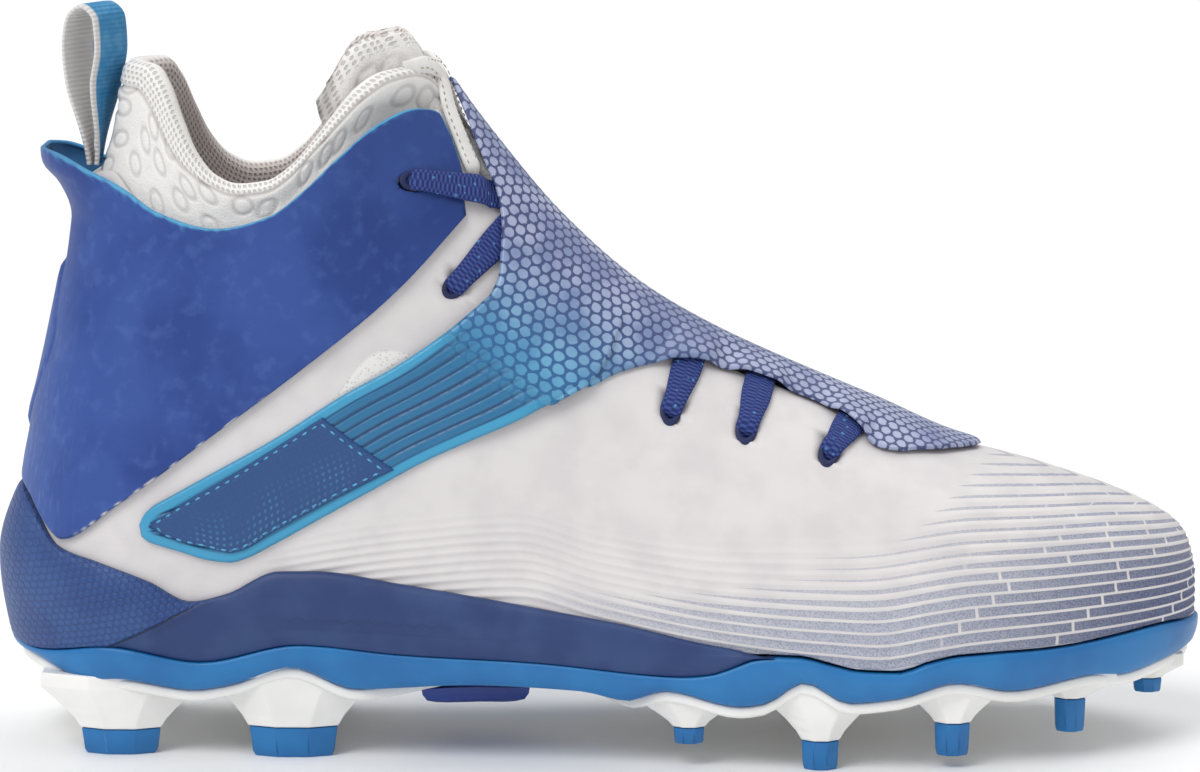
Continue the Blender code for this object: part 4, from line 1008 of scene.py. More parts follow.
def upperTopPoints(shares):
    collar = walk(sidePoints(*upperTopRows), np.linspace(0, 1, 120))
    throatX = np.linspace(throatRows[0][0], throatRows[0][-1], 160) * shoe["length"]
    throatHalf = smoothCurve(*throatRows)(throatX / shoe["length"]) * throatHalfWidth
    throat = np.stack([throatX, heightAt(throatX, throatHalf)], axis=-1)
    ridgeX = throatX[-1] + (tipX - throatX[-1]) * np.sin(np.linspace(0, math.pi / 2, 90))
    total = np.concatenate([collar, throat, np.stack([ridgeX, ridge(ridgeX)], axis=-1)[1:]])
    knots = arcLength(total)
    endOfThroat = knots[len(collar) + len(throat) - 1]
    first = int(np.argmin(abs(shares * knots[-1] - endOfThroat)))
    wanted = np.interp(shares, [0, shares[first], 1], [0, endOfThroat, knots[-1]])
    return sampled(total, knots, wanted), first


def flowPhase(x, z):
    # counts lines upwards and, less, inwards over the toe
    widest = np.sqrt(np.maximum(halfSquareShare(x / shoe["length"]), 0)) * shoe["ballHalfWidth"]
    inward = np.maximum(widest - np.sqrt(np.maximum(halfSquare(x, z), 0)), 0)
    return 10 * (z + flow["inward"] * inward - flowLow(x)) / (flowTop(x) - flowLow(x))


def cutHoles(mesh):
    # each lace hole: faces inside go, and the border is drawn onto an even oval
    bm = bmesh.new()
    bm.from_mesh(mesh)
    for along, rise, half, wide, turn in laceHoles.values():
        hx, hz = sidePoints(along, rise)
        angle = math.radians(turn)
        for side in (-1, 1):
            def spot(co):
                # in half lengths and half widths, far away on the other side
                a, b = turned(co.x - shift[0] - hx, co.z - hz, -angle)
                return (a / half, b / wide) if side * (co.y - shift[1]) > 0 else (9.0, 9.0)

            near = [f for f in bm.faces if math.hypot(*spot(f.calc_center_median())) < 1.0]
            bmesh.ops.delete(bm, geom=near, context="FACES")
            for vert in [v for v in bm.verts if v.is_boundary and math.hypot(*spot(v.co)) < 1.6]:
                a, b = spot(vert.co)
                reach = math.hypot(a, b)
                dx, dz = turned(a / reach * half, b / reach * wide, angle)
                vert.co.x, vert.co.z = hx + shift[0] + dx, hz + dz
    bm.to_mesh(mesh)
    bm.free()


def makeUpper():
    count = 165
    shares = planShares(count, tipX)
    top, first = upperTopPoints(shares)
    heelX = heelLine(feather(0.0))
    lowX = heelX + (tipX - heelX) * shares
    low = np.stack([lowX, feather(lowX) + 0.0004], axis=-1)
    low[0, 0] = heelLine(low[0, 1])
    bend = ease(np.arange(count), first * 0.45, first)
    rise = top[:, 1] - low[:, 1]
    lowBack, highBack = low[:, 0] - heelLine(low[:, 1]), top[:, 0] - heelLine(top[:, 1])
    shareRows = [np.zeros(count)]
    for k in range(flow["lines"] * flow["rowsPerLine"] + 1):
        under, over = np.zeros(count), np.ones(count)
        for _ in range(26):
            share = (under + over) / 2
            z = low[:, 1] + rise * share
            x = lowBack + (highBack - lowBack) * share + heelLine(z)
            short = flowPhase(x, z) < k / flow["rowsPerLine"]
            under, over = np.where(short, share, under), np.where(short, over, share)
        shareRows.append(np.maximum(np.minimum(share, 0.96), shareRows[-1]))
    reached = shareRows[-1]
    for t in np.linspace(0, 1, 46)[1:]:
        shareRows.append(reached + (1 - reached) * (t * (1 - bend) + np.sin(t * math.pi / 2) * bend))
    share = np.stack(shareRows, axis=1)
    x, z = sheared(low, top, share)
    z[first:, -1] = ridge(x[first:, -1])
    phase = flowPhase(x, z)
    along = ease(x, 0.060, 0.085)
    towardToe = ease(x, 0.212, 0.268)
    fadeTop = 1 - ease(phase, 7.0 + 12.0 * towardToe, 12.0 + 12.0 * towardToe)
    fromLine = abs(np.mod(phase, 1.0) - 0.5) * 2
    lift = flow["rise"] * ease(fromLine, 0.30, 0.85) * along * fadeTop * ease(phase, -0.4, 0.4)
    # how wide the film opens between two lines, and how clearly the grey mesh shows there
    reachUp = ease(x, 0.120, 0.215)
    opened = 0.78 * (1 - ease(phase, 0.5 + 3.0 * reachUp + 1.5 * towardToe, 3.0 + 6.5 * reachUp + 6.5 * towardToe))
    slit = 0.26 * ease(x, 0.175, 0.235) * (1 - ease(phase, 9.0 + 13.0 * towardToe, 11.0 + 16.0 * towardToe))
    opened = np.maximum(opened, slit) * ease(x, 0.112, 0.150)
    shade = (0.58 + 0.42 * reachUp) * ease(x, 0.112, 0.165) * (1 - 0.45 * ease(phase, 3.0, 9.0) * (1 - towardToe))
    toe = ease(x, 0.210, 0.288) * (1 - 0.8 * ease(phase, 3.0, 11.0))
    points = bothSides(lambda side: onForm(x, z, side, lift))
    u = lengths(points, 0)
    layers = {"shade": mirrored(shade), "toe": mirrored(toe), "open": mirrored(opened)}
    piece = sheet("upper", points, (abs(u - u[count - 1]), mirrored(phase)), layers)
    cutHoles(piece.data)
    thicken(piece, shoe["wall"])
    finishPiece(piece, "white_film", ["vamp"], "upper")


quarterTopRows = table([
    (0.0890, 0.832), (0.098, 0.826), (0.110, 0.792), (0.120, 0.768), (0.145, 0.733), (0.190, 0.710), (0.234, 0.733),
    (0.258, 0.771), (0.290, 0.837), (0.322, 0.892), (0.345, 0.908), (0.362, 0.900), (0.371, 0.870),
    (0.378, 0.835), (0.385, 0.790),
])
quarterLowRows = table([
    (0.0250, 0.246), (0.036, 0.226), (0.050, 0.184), (0.063, 0.162), (0.110, 0.229), (0.176, 0.335),
    (0.258, 0.467), (0.338, 0.609), (0.389, 0.725),
])
tabRows = table([(0.62, 0.00), (0.68, 0.02), (0.736, 0.16), (0.770, 0.39), (0.805, 0.78), (0.860, 1.00)])
quarter = {"thickness": 0.0014, "tabFlare": 0.0135, "columns": 110, "rows": 60, "height": 0.08}
panel = {"thickness": 0.0010, "proud": 0.0009, "fold": 0.0004}
panelRows = table([(0.33, 0.0012), (0.40, 0.0062), (0.50, 0.0095), (0.57, 0.0070), (0.63, 0.0012)])


def leanBack(points):
    rise = (points[..., 2] - shoe["featherHeight"]) / shoe["instepRise"]
    lean = np.maximum(smoothCurve(*tabRows)(np.clip(rise, tabRows[0][0], tabRows[0][-1])), 0.0)
    back = (points[..., 0] - heelLine(points[..., 2])) / shoe["heelRound"]
    moved = points.copy()
    moved[..., 0] -= quarter["tabFlare"] * lean * (1 - ease(back, 0.02, 0.42))
    return moved


def makeQuarter():
    shares = heelSpaced(quarter["columns"])
    low, high = walk(sidePoints(*quarterLowRows), shares), walk(sidePoints(*quarterTopRows), shares)
    rows = edgeShares(quarter["rows"], quarter["height"])
    x, z = sheared(low, high, rows)
    fromLow, fromTop = rows * quarter["height"], (1 - rows) * quarter["height"]
    edge = np.minimum(np.minimum(rows, 1 - rows) * quarter["height"], (1 - shares)[:, None] * 0.12)
    # soft creases fan out over the heel
    crease = np.sin((z - 0.06) * 260 + x * 120) * np.exp(-(x / 0.030) ** 2) * 0.00025
    wrinkle = np.exp(-((z - 0.128 + (x - 0.02) * 0.35) / 0.0035) ** 2) * np.exp(-((x - 0.022) / 0.012) ** 2) * 0.0006
    lift = shoe["gap"] + quarter["thickness"] - roundEdge(edge, 0.0007) + crease * ease(edge, 0.001, 0.01) - wrinkle
    points = bothSides(lambda side: leanBack(onForm(x, z, side, lift)))
    fringe = np.sin(x * 5200) * 0.00022 + np.sin(x * 2310 + 1) * 0.00018
    trim = (1 - ease(fromTop + fringe, 0.0003, 0.0012)) * ease(x, 0.020, 0.035)
    teeth = (1 - ease(fromLow, 0.0003, 0.0010)) * (np.sin(x * 3900 + np.sin(x * 900)) > 0.35)
    teeth = teeth * (1 - ease(x, 0.060, 0.070)) * ease(x, 0.020, 0.028)
    piece = sheet("quarter", points, None, {"trim": mirrored(trim), "teeth": mirrored(teeth)})
    cutHoles(piece.data)
    # the inside face takes the third finish, painted in the heel tab's dark-teal shadow colour
    thicken(piece, quarter["thickness"] - 0.0004, rim=1, inside=2)
    finishPiece(piece, "royal_film", ["quarter", "cutEdge", "shadedTabInside"], "quarter")


def makeHeelPanel():
    rise = np.linspace(panelRows[0][0], panelRows[0][-1], 40)
    half = smoothCurve(*panelRows)(rise)
    z = shoe["featherHeight"] + rise * shoe["instepRise"]
    across = np.linspace(-1, 1, 25)
    y = half[:, None] * across
    z = np.broadcast_to(z[:, None], y.shape)
    lower, upper = np.zeros_like(y), np.full_like(y, shoe["heelRound"] * 0.5)
    for _ in range(40):
        middle = (lower + upper) / 2
        wide = np.sqrt(halfSquare(heelLine(z) + middle, z))
        lower, upper = np.where(wide < abs(y), middle, lower), np.where(wide < abs(y), upper, middle)
    base = shoe["gap"] + quarter["thickness"]
    border = np.minimum((1 - abs(across)) * half[:, None], np.minimum(rise - rise[0], rise[-1] - rise)[:, None] * 0.1)
    fold = panel["fold"] * (1 - abs(across))
    lift = base - 0.0003 + panel["proud"] * ease(border, 0, 0.0014) + fold * ease(border, 0, 0.004)
    points = leanBack(onForm(heelLine(z) + upper, z, np.sign(y + 1e-9), lift))
    piece = sheet("heelPanel", points)
    thicken(piece, panel["thickness"])
    finishPiece(piece, "royal_film", ["quarter"], "heel_panel")


# collar and tongue

collarRimRows = table([
    (0.1085, 0.990), (0.126, 0.988), (0.139, 0.960), (0.153, 0.900), (0.169, 0.838), (0.185, 0.802),
    (0.206, 0.786), (0.229, 0.792), (0.249, 0.818), (0.270, 0.866), (0.289, 0.912), (0.308, 0.953),
    (0.326, 0.977), (0.343, 0.982), (0.354, 0.973), (0.3615, 0.953),
])
collarLowRows = table([
    (0.066, 0.648), (0.103, 0.604), (0.205, 0.546), (0.291, 0.620), (0.350, 0.705), (0.397, 0.764),
])
collar = {"thickness": 0.0070, "edgeThickness": 0.0012, "frontGap": 0.0010, "rimDepth": 0.0004, "taper": 0.022,
          "band": 0.0068, "frontBand": 0.0028, "emboss": 0.0066, "embossDepth": 0.0005, "rimRound": 0.0032,
          "puff": 0.0020}


def ovals(u, v, size):
    # 0 on the outline of embossed ovals, 1 elsewhere
    return 1 - np.exp(-((cellField(u, v, size) - 0.30) / 0.075) ** 2)


def behindRidge(x, z):
    scan = np.linspace(0.25, 0.99, 400) * shoe["length"]
    return np.interp(-z, -ridge(scan), scan) - x


def liningDepth(x, z):
    edge = shoe["wall"] + 1.5 * shoe["gap"] + collar["frontGap"] + collar["edgeThickness"]
    return edge + (collar["thickness"] - edge) * ease(behindRidge(x, z), 0.004, 0.004 + collar["taper"])


def makeCollar():
    shares = heelSpaced(170)
    edgeRows = np.column_stack([upperTopRows, (0.3745, 0.880)])
    low, edge, rim = (walk(sidePoints(*rows), shares) for rows in (collarLowRows, edgeRows, collarRimRows))
    edge[:, 1] += 2 * shoe["gap"]
    lowRows, highRows = np.linspace(0, 1, 10), np.linspace(0, 1, 64)
    xLow, zLow = sheared(low, edge, lowRows)
    xHigh, zHigh = sheared(edge, rim, highRows[1:])
    x, z = np.concatenate([xLow, xHigh], axis=1), np.concatenate([zLow, zHigh], axis=1)
    high = np.concatenate([0 * lowRows, highRows[1:]])
    swell = ease(high, 0.22, 0.8)
    depth = liningDepth(x, z)
    frontGap = collar["frontGap"] * (1 - ease(behindRidge(x, z), 0.5 * collar["taper"], 2 * collar["taper"]))
    outerDepth = (shoe["wall"] + 1.5 * shoe["gap"] + frontGap) * (1 - swell) + collar["rimDepth"] * swell
    toRim = np.linalg.norm(np.diff(np.stack([x, z], axis=-1), axis=1), axis=-1)
    toRim = np.concatenate([np.cumsum(toRim[:, ::-1], axis=1)[:, ::-1], np.zeros((len(x), 1))], axis=1)
    half = (depth - outerDepth) / 2
    pinch = roundEdge(toRim, collar["rimRound"]) / collar["rimRound"]
    # the front of the collar puffs out over the quarter
    outerDepth = outerDepth - collar["puff"] * ease(x, 0.084, 0.098) * ease(high, 0.30, 0.75)
    middle = (depth + outerDepth) / 2
    outerDepth = outerDepth + (middle - outerDepth) * pinch
    innerDepth = depth - (depth - middle) * pinch
    bandWidth = collar["frontBand"] + (collar["band"] - collar["frontBand"]) * (1 - ease(x, 0.040, 0.056))
    band = ease(bandWidth - toRim, 0.0, 0.0006)
    seam = np.exp(-((toRim - bandWidth) / 0.0005) ** 2)
    u = lengths(np.stack([x, z], axis=-1), 0)
    blob = ovals(u * 0.85, toRim + 0.003, collar["emboss"])
    relief = blob * (1 - band) + band
    out = -outerDepth - collar["embossDepth"] * (1 - blob) * (1 - band) * ease(high, 0.02, 0.2)
    out = out - 0.0005 * seam * (half / 0.003)
    outer = bothSides(lambda side: onForm(x, z, side, out))
    inner = bothSides(lambda side: onForm(x, z, side, -innerDepth))
    none = 0 * u
    layers = {"relief": (relief, 1 + none), "seam": (seam, none), "band": (band, none),
              "lining": (none, ease(toRim, 0.0001, 0.0010))}
    layers = {key: wrapped(*map(mirrored, pair)) for key, pair in layers.items()}
    uv = [wrapped(mirrored(values), mirrored(values)) for values in (u, toRim)]
    piece = sheet("collar", wrapped(outer, inner), uv, layers, closed=True)
    finishPiece(piece, "white_knit", ["knit"], "collar", padded=0.6)


tongueRows = table([
    (0.745, 0.700, 0.290), (0.677, 0.630, 0.330), (0.577, 0.530, 0.405), (0.492, 0.450, 0.500),
    (0.425, 0.385, 0.635), (0.391, 0.330, 0.775), (0.368, 0.286, 0.872), (0.350, 0.272, 0.930),
])
tongue = {"thickness": 0.0035, "topDepth": 0.0015, "dome": 0.0064, "frontDepth": 0.0006, "length": 0.12,
          "halfWidth": 0.022, "emboss": 0.0062}


def makeTongue():
    along, across = 150, 70
    ridgeX = tongueRows[0] * shoe["length"]
    share = np.linspace(0, 1, along)
    middle, edge = walk(np.stack([ridgeX, ridge(ridgeX)], axis=-1), share), walk(sidePoints(*tongueRows[1:]), share)
    share = share[:, None]
    turn = np.linspace(-1, 1, across)
    reach = turn ** 2
    x, z = (middle[:, None, k] + (edge - middle)[:, None, k] * reach for k in (0, 1))
    rim = sidePoints(*collarRimRows)
    free = ease(z - np.interp(x, rim[:, 0], rim[:, 1]), 0.002, 0.010)
    z = z + tongue["dome"] * np.sin(math.pi * reach ** 0.62) * ease(share, 0.80, 1.0)
    underUpper, underCollar = shoe["wall"] + 2 * shoe["gap"], liningDepth(x, z) + 2 * shoe["gap"]
    depth = underUpper + (underCollar - underUpper) * ease(z, 0.094, 0.110)
    depth = depth + (tongue["topDepth"] - depth) * free
    # its middle fills the gap between the collar's front edges
    inFront = (1 - ease(abs(turn), 0.36, 0.48)) * ease(z, 0.112, 0.124)
    depth = depth + np.minimum(tongue["frontDepth"] - depth, 0) * inFront
    half = tongue["thickness"] / 2 * np.sqrt(np.maximum(1 - abs(turn) ** 8, 0))
    half = half * np.sqrt(np.maximum(1 - np.clip((share - 0.965) / 0.035, 0, 1) ** 2, 0))
    none = 0 * x
    u, v = lengths(np.stack([x, z], axis=-1), 0), turn * tongue["halfWidth"] + none
    blob = ovals(u + 0.1, v + 0.1, tongue["emboss"])
    fromRim = np.minimum((1 - share) * tongue["length"], (1 - abs(turn)) * tongue["halfWidth"])
    band = 1 - ease(fromRim, 0.0026, 0.0031)
    blob = blob * (1 - band) + band
    side = np.sign(turn) + none
    centreDepth = depth + tongue["thickness"] / 2
    outer = onForm(x, z, side, -(centreDepth - half) - 0.0006 * (1 - blob) * ease(half, 0.0005, 0.0015))
    inner = onForm(x, z, side, -(centreDepth + half))
    layers = {"relief": wrapped(blob, 1 + none), "seam": wrapped(none, none), "band": wrapped(band, none),
              "lining": wrapped(none, 1 + none)}
    piece = sheet("tongue", wrapped(outer, inner), (wrapped(u, u), wrapped(v, v)), layers, closed=True)
    finishPiece(piece, "white_knit", ["knit"], "tongue", padded=0.6)


# shroud, strap and label

shroudEdgeRows = table([
    (0.370, 0.90), (0.430, 0.93), (0.483, 0.98), (0.515, 0.86), (0.547, 0.72), (0.579, 0.60), (0.627, 0.51),
    (0.672, 0.50), (0.700, 0.62), (0.722, 0.80), (0.740, 0.82),
])
shroudEndRows = table([  # across, rear and front end
    (0.00, 0.368, 0.815), (0.20, 0.379, 0.810), (0.33, 0.3885, 0.803), (0.45, 0.4015, 0.796),
    (0.53, 0.4105, 0.790), (0.69, 0.4155, 0.777), (0.84, 0.4150, 0.757), (0.93, 0.4095, 0.744),
    (1.00, 0.3990, 0.728),
])
strapRearRows = table([
    (0.3990, 0.5690), (0.3862, 0.5480), (0.3676, 0.5204), (0.3343, 0.4745),
    (0.2943, 0.4281), (0.2339, 0.3452), (0.1935, 0.2968), (0.1530, 0.2480), (0.1387, 0.2302), (0.1315, 0.2145),
    (0.1276, 0.1969),
])
strapFrontRows = table([
    (0.4890, 0.4510), (0.4615, 0.4122), (0.4375, 0.3846), (0.3947, 0.3464), (0.3546, 0.3078), (0.3144, 0.2600),
    (0.2740, 0.2116), (0.2336, 0.1628), (0.2133, 0.1405), (0.2011, 0.1336), (0.1830, 0.1375), (0.1627, 0.1500),
    (0.1425, 0.1625), (0.1344, 0.1689), (0.1294, 0.1774),
])
shroud = {"thickness": 0.0008, "lift": 0.0019, "halfWidth": 0.0280, "strapShare": 4 / 15, "ribs": 7,
          "cell": 0.0029, "border": 0.0024, "strapWidth": 0.024, "length": 0.13,
          "skin": 0.00011, "ribHeight": 0.00040, "borderHeight": 0.00025}


def aroundRidge(x, z):
    # metres along the ridge line and around the form from it
    scan = np.linspace(0.30, 0.90, 500) * shoe["length"]
    ridgeZ = ridge(scan)
    walked = arcLength(np.stack([scan, ridgeZ], axis=-1))
    flatX, flatZ = x.ravel(), z.ravel()
    nearest = np.empty(flatX.size, int)
    for start in range(0, flatX.size, 4000):
        part = slice(start, start + 4000)
        nearest[part] = np.argmin((flatX[part, None] - scan) ** 2 + (flatZ[part, None] - ridgeZ) ** 2, axis=1)
    nearest = nearest.reshape(x.shape)
    footX, footZ = scan[nearest], ridgeZ[nearest]
    t = np.linspace(0, 1, 14) ** 2
    pathX, pathZ = footX[..., None] + (x - footX)[..., None] * t, footZ[..., None] + (z - footZ)[..., None] * t
    path = onForm(pathX, pathZ - 1e-6, -1)
    return walked[nearest], np.linalg.norm(np.diff(path, axis=-2), axis=-1).sum(axis=-1)


def toPath(x, z, path):
    # distance to a side-view line
    best = np.full(x.shape, 9.0)
    for (ax, az), (bx, bz) in zip(path[:-1], path[1:]):
        length = max((bx - ax) ** 2 + (bz - az) ** 2, 1e-12)
        t = np.clip(((x - ax) * (bx - ax) + (z - az) * (bz - az)) / length, 0, 1)
        best = np.minimum(best, np.hypot(x - ax - t * (bx - ax), z - az - t * (bz - az)))
    return best


def makeShroud():
    strapColumns, bodyColumns, bodyRows, strapCount = 56, 130, 52, 130
    share = np.concatenate([np.linspace(0, shroud["strapShare"], strapColumns),
                            np.linspace(shroud["strapShare"], 1, bodyColumns)[1:]])
    across = np.linspace(0, 1, bodyRows)
    rear, front = (smoothCurve(shroudEndRows[0], ends)(across) for ends in shroudEndRows[1:])
    along = rear + (front - rear) * share[:, None]
    xBody = along * shoe["length"]
    limit = np.clip(along, shroudEdgeRows[0][0], shroudEdgeRows[0][-1])
    widest = smoothCurve(*shroudEdgeRows)(limit) * shroud["halfWidth"]
    half = across * widest
    zBody = heightAt(xBody, half)
    reach = np.linspace(0, 1, strapCount + 1)[1:]
    rearLine, frontLine = (walk(sidePoints(*rows), reach) for rows in (strapRearRows, strapFrontRows))
    spread = np.clip(share / shroud["strapShare"], 0, 1)
    strap = rearLine + (frontLine - rearLine) * spread[:, None, None]
    startRear, startFront = sidePoints(*strapRearRows[:, 0]), sidePoints(*strapFrontRows[:, 0])
    start = startRear + (startFront - startRear) * spread[:, None]
    join = np.stack([xBody[:, -1], zBody[:, -1]], axis=-1) - start
    strap = strap + join[:, None, :] * (1 - ease(reach, 0.0, 0.12))[None, :, None]
    x = np.concatenate([xBody, strap[..., 0]], axis=1)
    z = np.concatenate([zBody, strap[..., 1]], axis=1)
    towardToe = 1 - 0.75 * ease(along, 0.72, 0.80)
    downStrap = np.broadcast_to(1 - ease(reach, 0.1, 0.35), (len(share), strapCount))
    # the free edge lies on the vamp and rises over each lace bar
    near = np.zeros_like(xBody)
    for barAlong, barRise, crestAlong in laceBars.values():
        (holeX, holeZ), crestX = sidePoints(barAlong, barRise), crestAlong * shoe["length"]
        climb = np.clip((zBody - holeZ) / (float(ridge(crestX)) - holeZ), 0, 1)
        near = np.maximum(near, 1 - ease(abs(xBody - holeX - (crestX - holeX) * climb), 0.0036, 0.0095))
    beyondStrap = (share > shroud["strapShare"])[:, None]
    fromEdge = np.where(beyondStrap, (1 - across) * widest, 0.02)
    down = 0.12 + 0.88 * np.maximum(near, ease(fromEdge, 0.0008, 0.0110))
    lift = shroud["lift"] * np.concatenate([towardToe * down, downStrap], axis=1)
    onStrap = np.concatenate([0 * across, reach]) + 0 * x
    u, v = aroundRidge(x, z)  # metres along and across the film
    toOutline = toPath(x, z, np.concatenate([rearLine, frontLine[::-1]]))
    isStrap = ease(onStrap, 0.02, 0.16)
    margin = shroud["border"] / shroud["strapWidth"]
    inner = (spread[:, None] - margin) / (1 - 2 * margin)
    rib = ease(np.cos(inner * 2 * math.pi * shroud["ribs"] + math.pi) + 0 * x, -0.98, -0.35)
    border = 1 - ease(toOutline, shroud["border"] - 0.0003, shroud["border"] + 0.0002)
    border = border * ease(onStrap, 0.04, 0.16)
    toEdge = np.minimum(np.minimum(share, 1 - share)[:, None] * shroud["length"] + 0 * x, 0.01)
    toEdge = np.where(onStrap > 0, np.minimum(toEdge, toOutline), toEdge)
    free = np.concatenate([(1 - across) * widest, np.full((len(share), strapCount), 0.01)], axis=1)
    toEdge = np.where(beyondStrap, np.minimum(toEdge, free), toEdge)
    relief = shroud["skin"] * (1 - isStrap) + shroud["ribHeight"] * rib * isStrap * (1 - border)
    relief = (relief + shroud["borderHeight"] * border) * ease(toEdge, 0.0, 0.0010)
    height = shoe["gap"] + shroud["thickness"] + lift + relief - roundEdge(toEdge, 0.0006)
    points = mirrored(onForm(x, z, -1, height), onForm(x, z, 1, height), axis=1)
    keep = np.ones((len(share) - 1, 2 * x.shape[1] - 2), bool)
    keep[strapColumns - 1:, :strapCount] = False
    keep[strapColumns - 1:, -strapCount:] = False
    instep = ease(z + (x - 0.120) * 0.62, 0.096, 0.128) * (1 - ease(onStrap, 0.0, 0.25))
    layers = {"strap": isStrap, "rib": rib, "edge": border, "instep": instep}
    layers = {key: mirrored(values, axis=1) for key, values in layers.items()}
    piece = sheet("shroud", points, (mirrored(u, axis=1), mirrored(v, axis=1)), layers, keep)
    thicken(piece, shroud["thickness"])
    finishPiece(piece, "shroud_film", ["shroud"], "shroud")


labelTopRows = table([(0.1359, 0.1964), (0.1633, 0.2365), (0.2018, 0.2852), (0.2341, 0.3291), (0.2764, 0.3881)])
labelLowRows = table([
    (0.1420, 0.1880), (0.1631, 0.1710), (0.1833, 0.1607), (0.2015, 0.1524), (0.2100, 0.1560), (0.2339, 0.1859),
    (0.2743, 0.2346), (0.3145, 0.2785), (0.3336, 0.2980),
])
label = {"thickness": 0.0006, "length": 0.052, "width": 0.016}
stitch = {"length": 0.0017, "pitch": 0.0027, "radius": 0.00024, "inset": 0.0008}


def capsuleLine(bm, points, normals, length, pitch, radius):
    # a row of short stitches along a path, each a small stretched ball
    walked = arcLength(points)
    for at in np.arange(pitch / 2, walked[-1], pitch):
        behind, place, ahead = sampled(points, walked, np.array([at - 0.0004, at, at + 0.0004]))
        direction, up = unit(ahead - behind), unit(sampled(normals, walked, at))
        over = np.cross(up, direction)
        ball = bmesh.ops.create_icosphere(bm, subdivisions=1, radius=1.0)["verts"]
        for vert in ball:
            local = np.array(vert.co)
            moved = direction * local[0] * length / 2 + over * local[1] * radius * 1.3 + up * local[2] * radius
            vert.co = place + moved + shift


def makeLabel():
    shares = np.linspace(0, 1, 70)
    low, high = walk(sidePoints(*labelLowRows), shares), walk(sidePoints(*labelTopRows), shares)
    rows = edgeShares(30, label["width"], 0.0008)
    x, z = sheared(low, high, rows)
    edge = np.minimum(np.minimum(rows, 1 - rows) * label["width"],
                      np.minimum(shares, 1 - shares)[:, None] * label["length"])
    base = 2 * shoe["gap"] + shroud["thickness"] + label["thickness"]
    groove = np.exp(-((edge - stitch["inset"]) / 0.0004) ** 2) * 0.00022
    points = onForm(x, z, -1, base - roundEdge(edge, 0.0005) - groove)
    piece = sheet("strapLabel", points, (lengths(points, 0), lengths(points, 1)))
    thicken(piece, label["thickness"])
    finishPiece(piece, "label_film", ["label"], "strap_label")
    bm = bmesh.new()
    inset = stitch["inset"] / label["width"]
    seamX, seamZ = sheared(low, high, np.array([inset, 1 - inset]))
    lines = [(seamX[2:-2, k], seamZ[2:-2, k]) for k in (0, 1)] + [(x[k, 3:-3], z[k, 3:-3]) for k in (-3, 2)]
    for lx, lz in lines:
        path = onForm(lx, lz, -1, base - 0.0001)
        raised = onForm(lx, lz, -1, base + 0.001)
        capsuleLine(bm, path, raised - path, stitch["length"], stitch["pitch"], stitch["radius"])
    finishPiece(addPiece("labelStitching", toMesh(bm, "labelStitching")), "ribbon", ["cyanThread"])


# laces and loop

laceCrossAlong = 0.442
sides = ((-1, "Outer"), (1, "Inner"))
laceBars = {"rear": (0.557, 0.399, 0.578), "middle": (0.618, 0.366, 0.632), "front": (0.686, 0.325, 0.712)}
lace = {"width": 0.0074, "thickness": 0.0013}


def loftStrip(name, line, side, lift, halfWidth, halfThickness, ribDepth):
    # a flat rounded strip that follows side-view points on the form
    low = onForm(line[:, 0], line[:, 1], side, lift)
    up = unit(onForm(line[:, 0], line[:, 1], side, lift + 0.001) - low)
    travel = unit(np.gradient(low, axis=0))
    across = unit(np.cross(travel, up))
    up = np.cross(across, travel)
    angle = np.linspace(0, 2 * math.pi, 17)
    wide = np.sign(np.cos(angle)) * abs(np.cos(angle)) ** 0.7
    thick = np.sign(np.sin(angle)) * abs(np.sin(angle)) ** 0.8
    centre = low + up * halfThickness[:, None]
    points = (centre[:, None, :] + across[:, None, :] * (wide * halfWidth[:, None])[..., None]
              + up[:, None, :] * (thick * halfThickness[:, None])[..., None])
    u = lengths(points, 0)[:, :1] + 0 * points[..., 0]
    v = np.broadcast_to(angle / (2 * math.pi), u.shape)
    ribs = ribDepth * np.sin(u * 2 * math.pi / 0.0011 + abs(np.cos(angle))[None, :] * 3)
    points = points + up[:, None, :] * ribs[..., None] * np.sign(np.sin(angle))[None, :, None]
    # both ends close to a point
    points = np.concatenate([points[:1] * 0 + centre[0], points, points[:1] * 0 + centre[-1]])
    uv = [np.concatenate([values[:1], values, values[-1:]]) for values in (u, v)]
    return sheet(name, points, uv, closed=True)


throatEdgeRows = [(0.0990, 0.1634), (0.1028, 0.1628), (0.1062, 0.1596), (0.1088, 0.1524), (0.1113, 0.1468),
                  (0.1139, 0.1410), (0.1160, 0.1368)]
throatEdge = {"width": 0.0044, "thickness": 0.0018}


def makeThroatEdge():
    # the collar's rolled knit edge beside the tongue, with two rows of stitches
    shares = np.linspace(0, 1, 60)
    line = walk(throatEdgeRows, shares)
    line[:, 1] = np.minimum(line[:, 1], ridge(line[:, 0]) - 0.0004)
    ends = ease(shares, 0, 0.12) * (1 - ease(shares, 0.90, 1))
    bm = bmesh.new()
    slope = unit(np.gradient(line, axis=0))
    for side, sideName in sides:
        lift = -0.0010 + 0.0012 * ends + 0.0007 * (1 - ease(line[:, 0], 0.104, 0.112))
        piece = loftStrip("throatEdge" + sideName, line, side + 0 * shares, lift,
                          throatEdge["width"] / 2 * (0.55 + 0.45 * ends),
                          throatEdge["thickness"] / 2 * (0.6 + 0.4 * ends), 0.0)
        finishPiece(piece, "white_knit", ["edgeKnit"])
        height = (lift + throatEdge["thickness"])[4:-6]
        for reach in (-0.0009, 0.0009):
            moved = (line + np.stack([-slope[:, 1], slope[:, 0]], axis=-1) * reach)[4:-6]
            top, above = (onForm(moved[:, 0], moved[:, 1], side, height + over) for over in (-0.0001, 0.001))
            capsuleLine(bm, top, above - top, 0.0011, 0.0018, 0.00016)
    finishPiece(addPiece("throatStitching", toMesh(bm, "throatStitching")), "ribbon", ["beigeThread"])


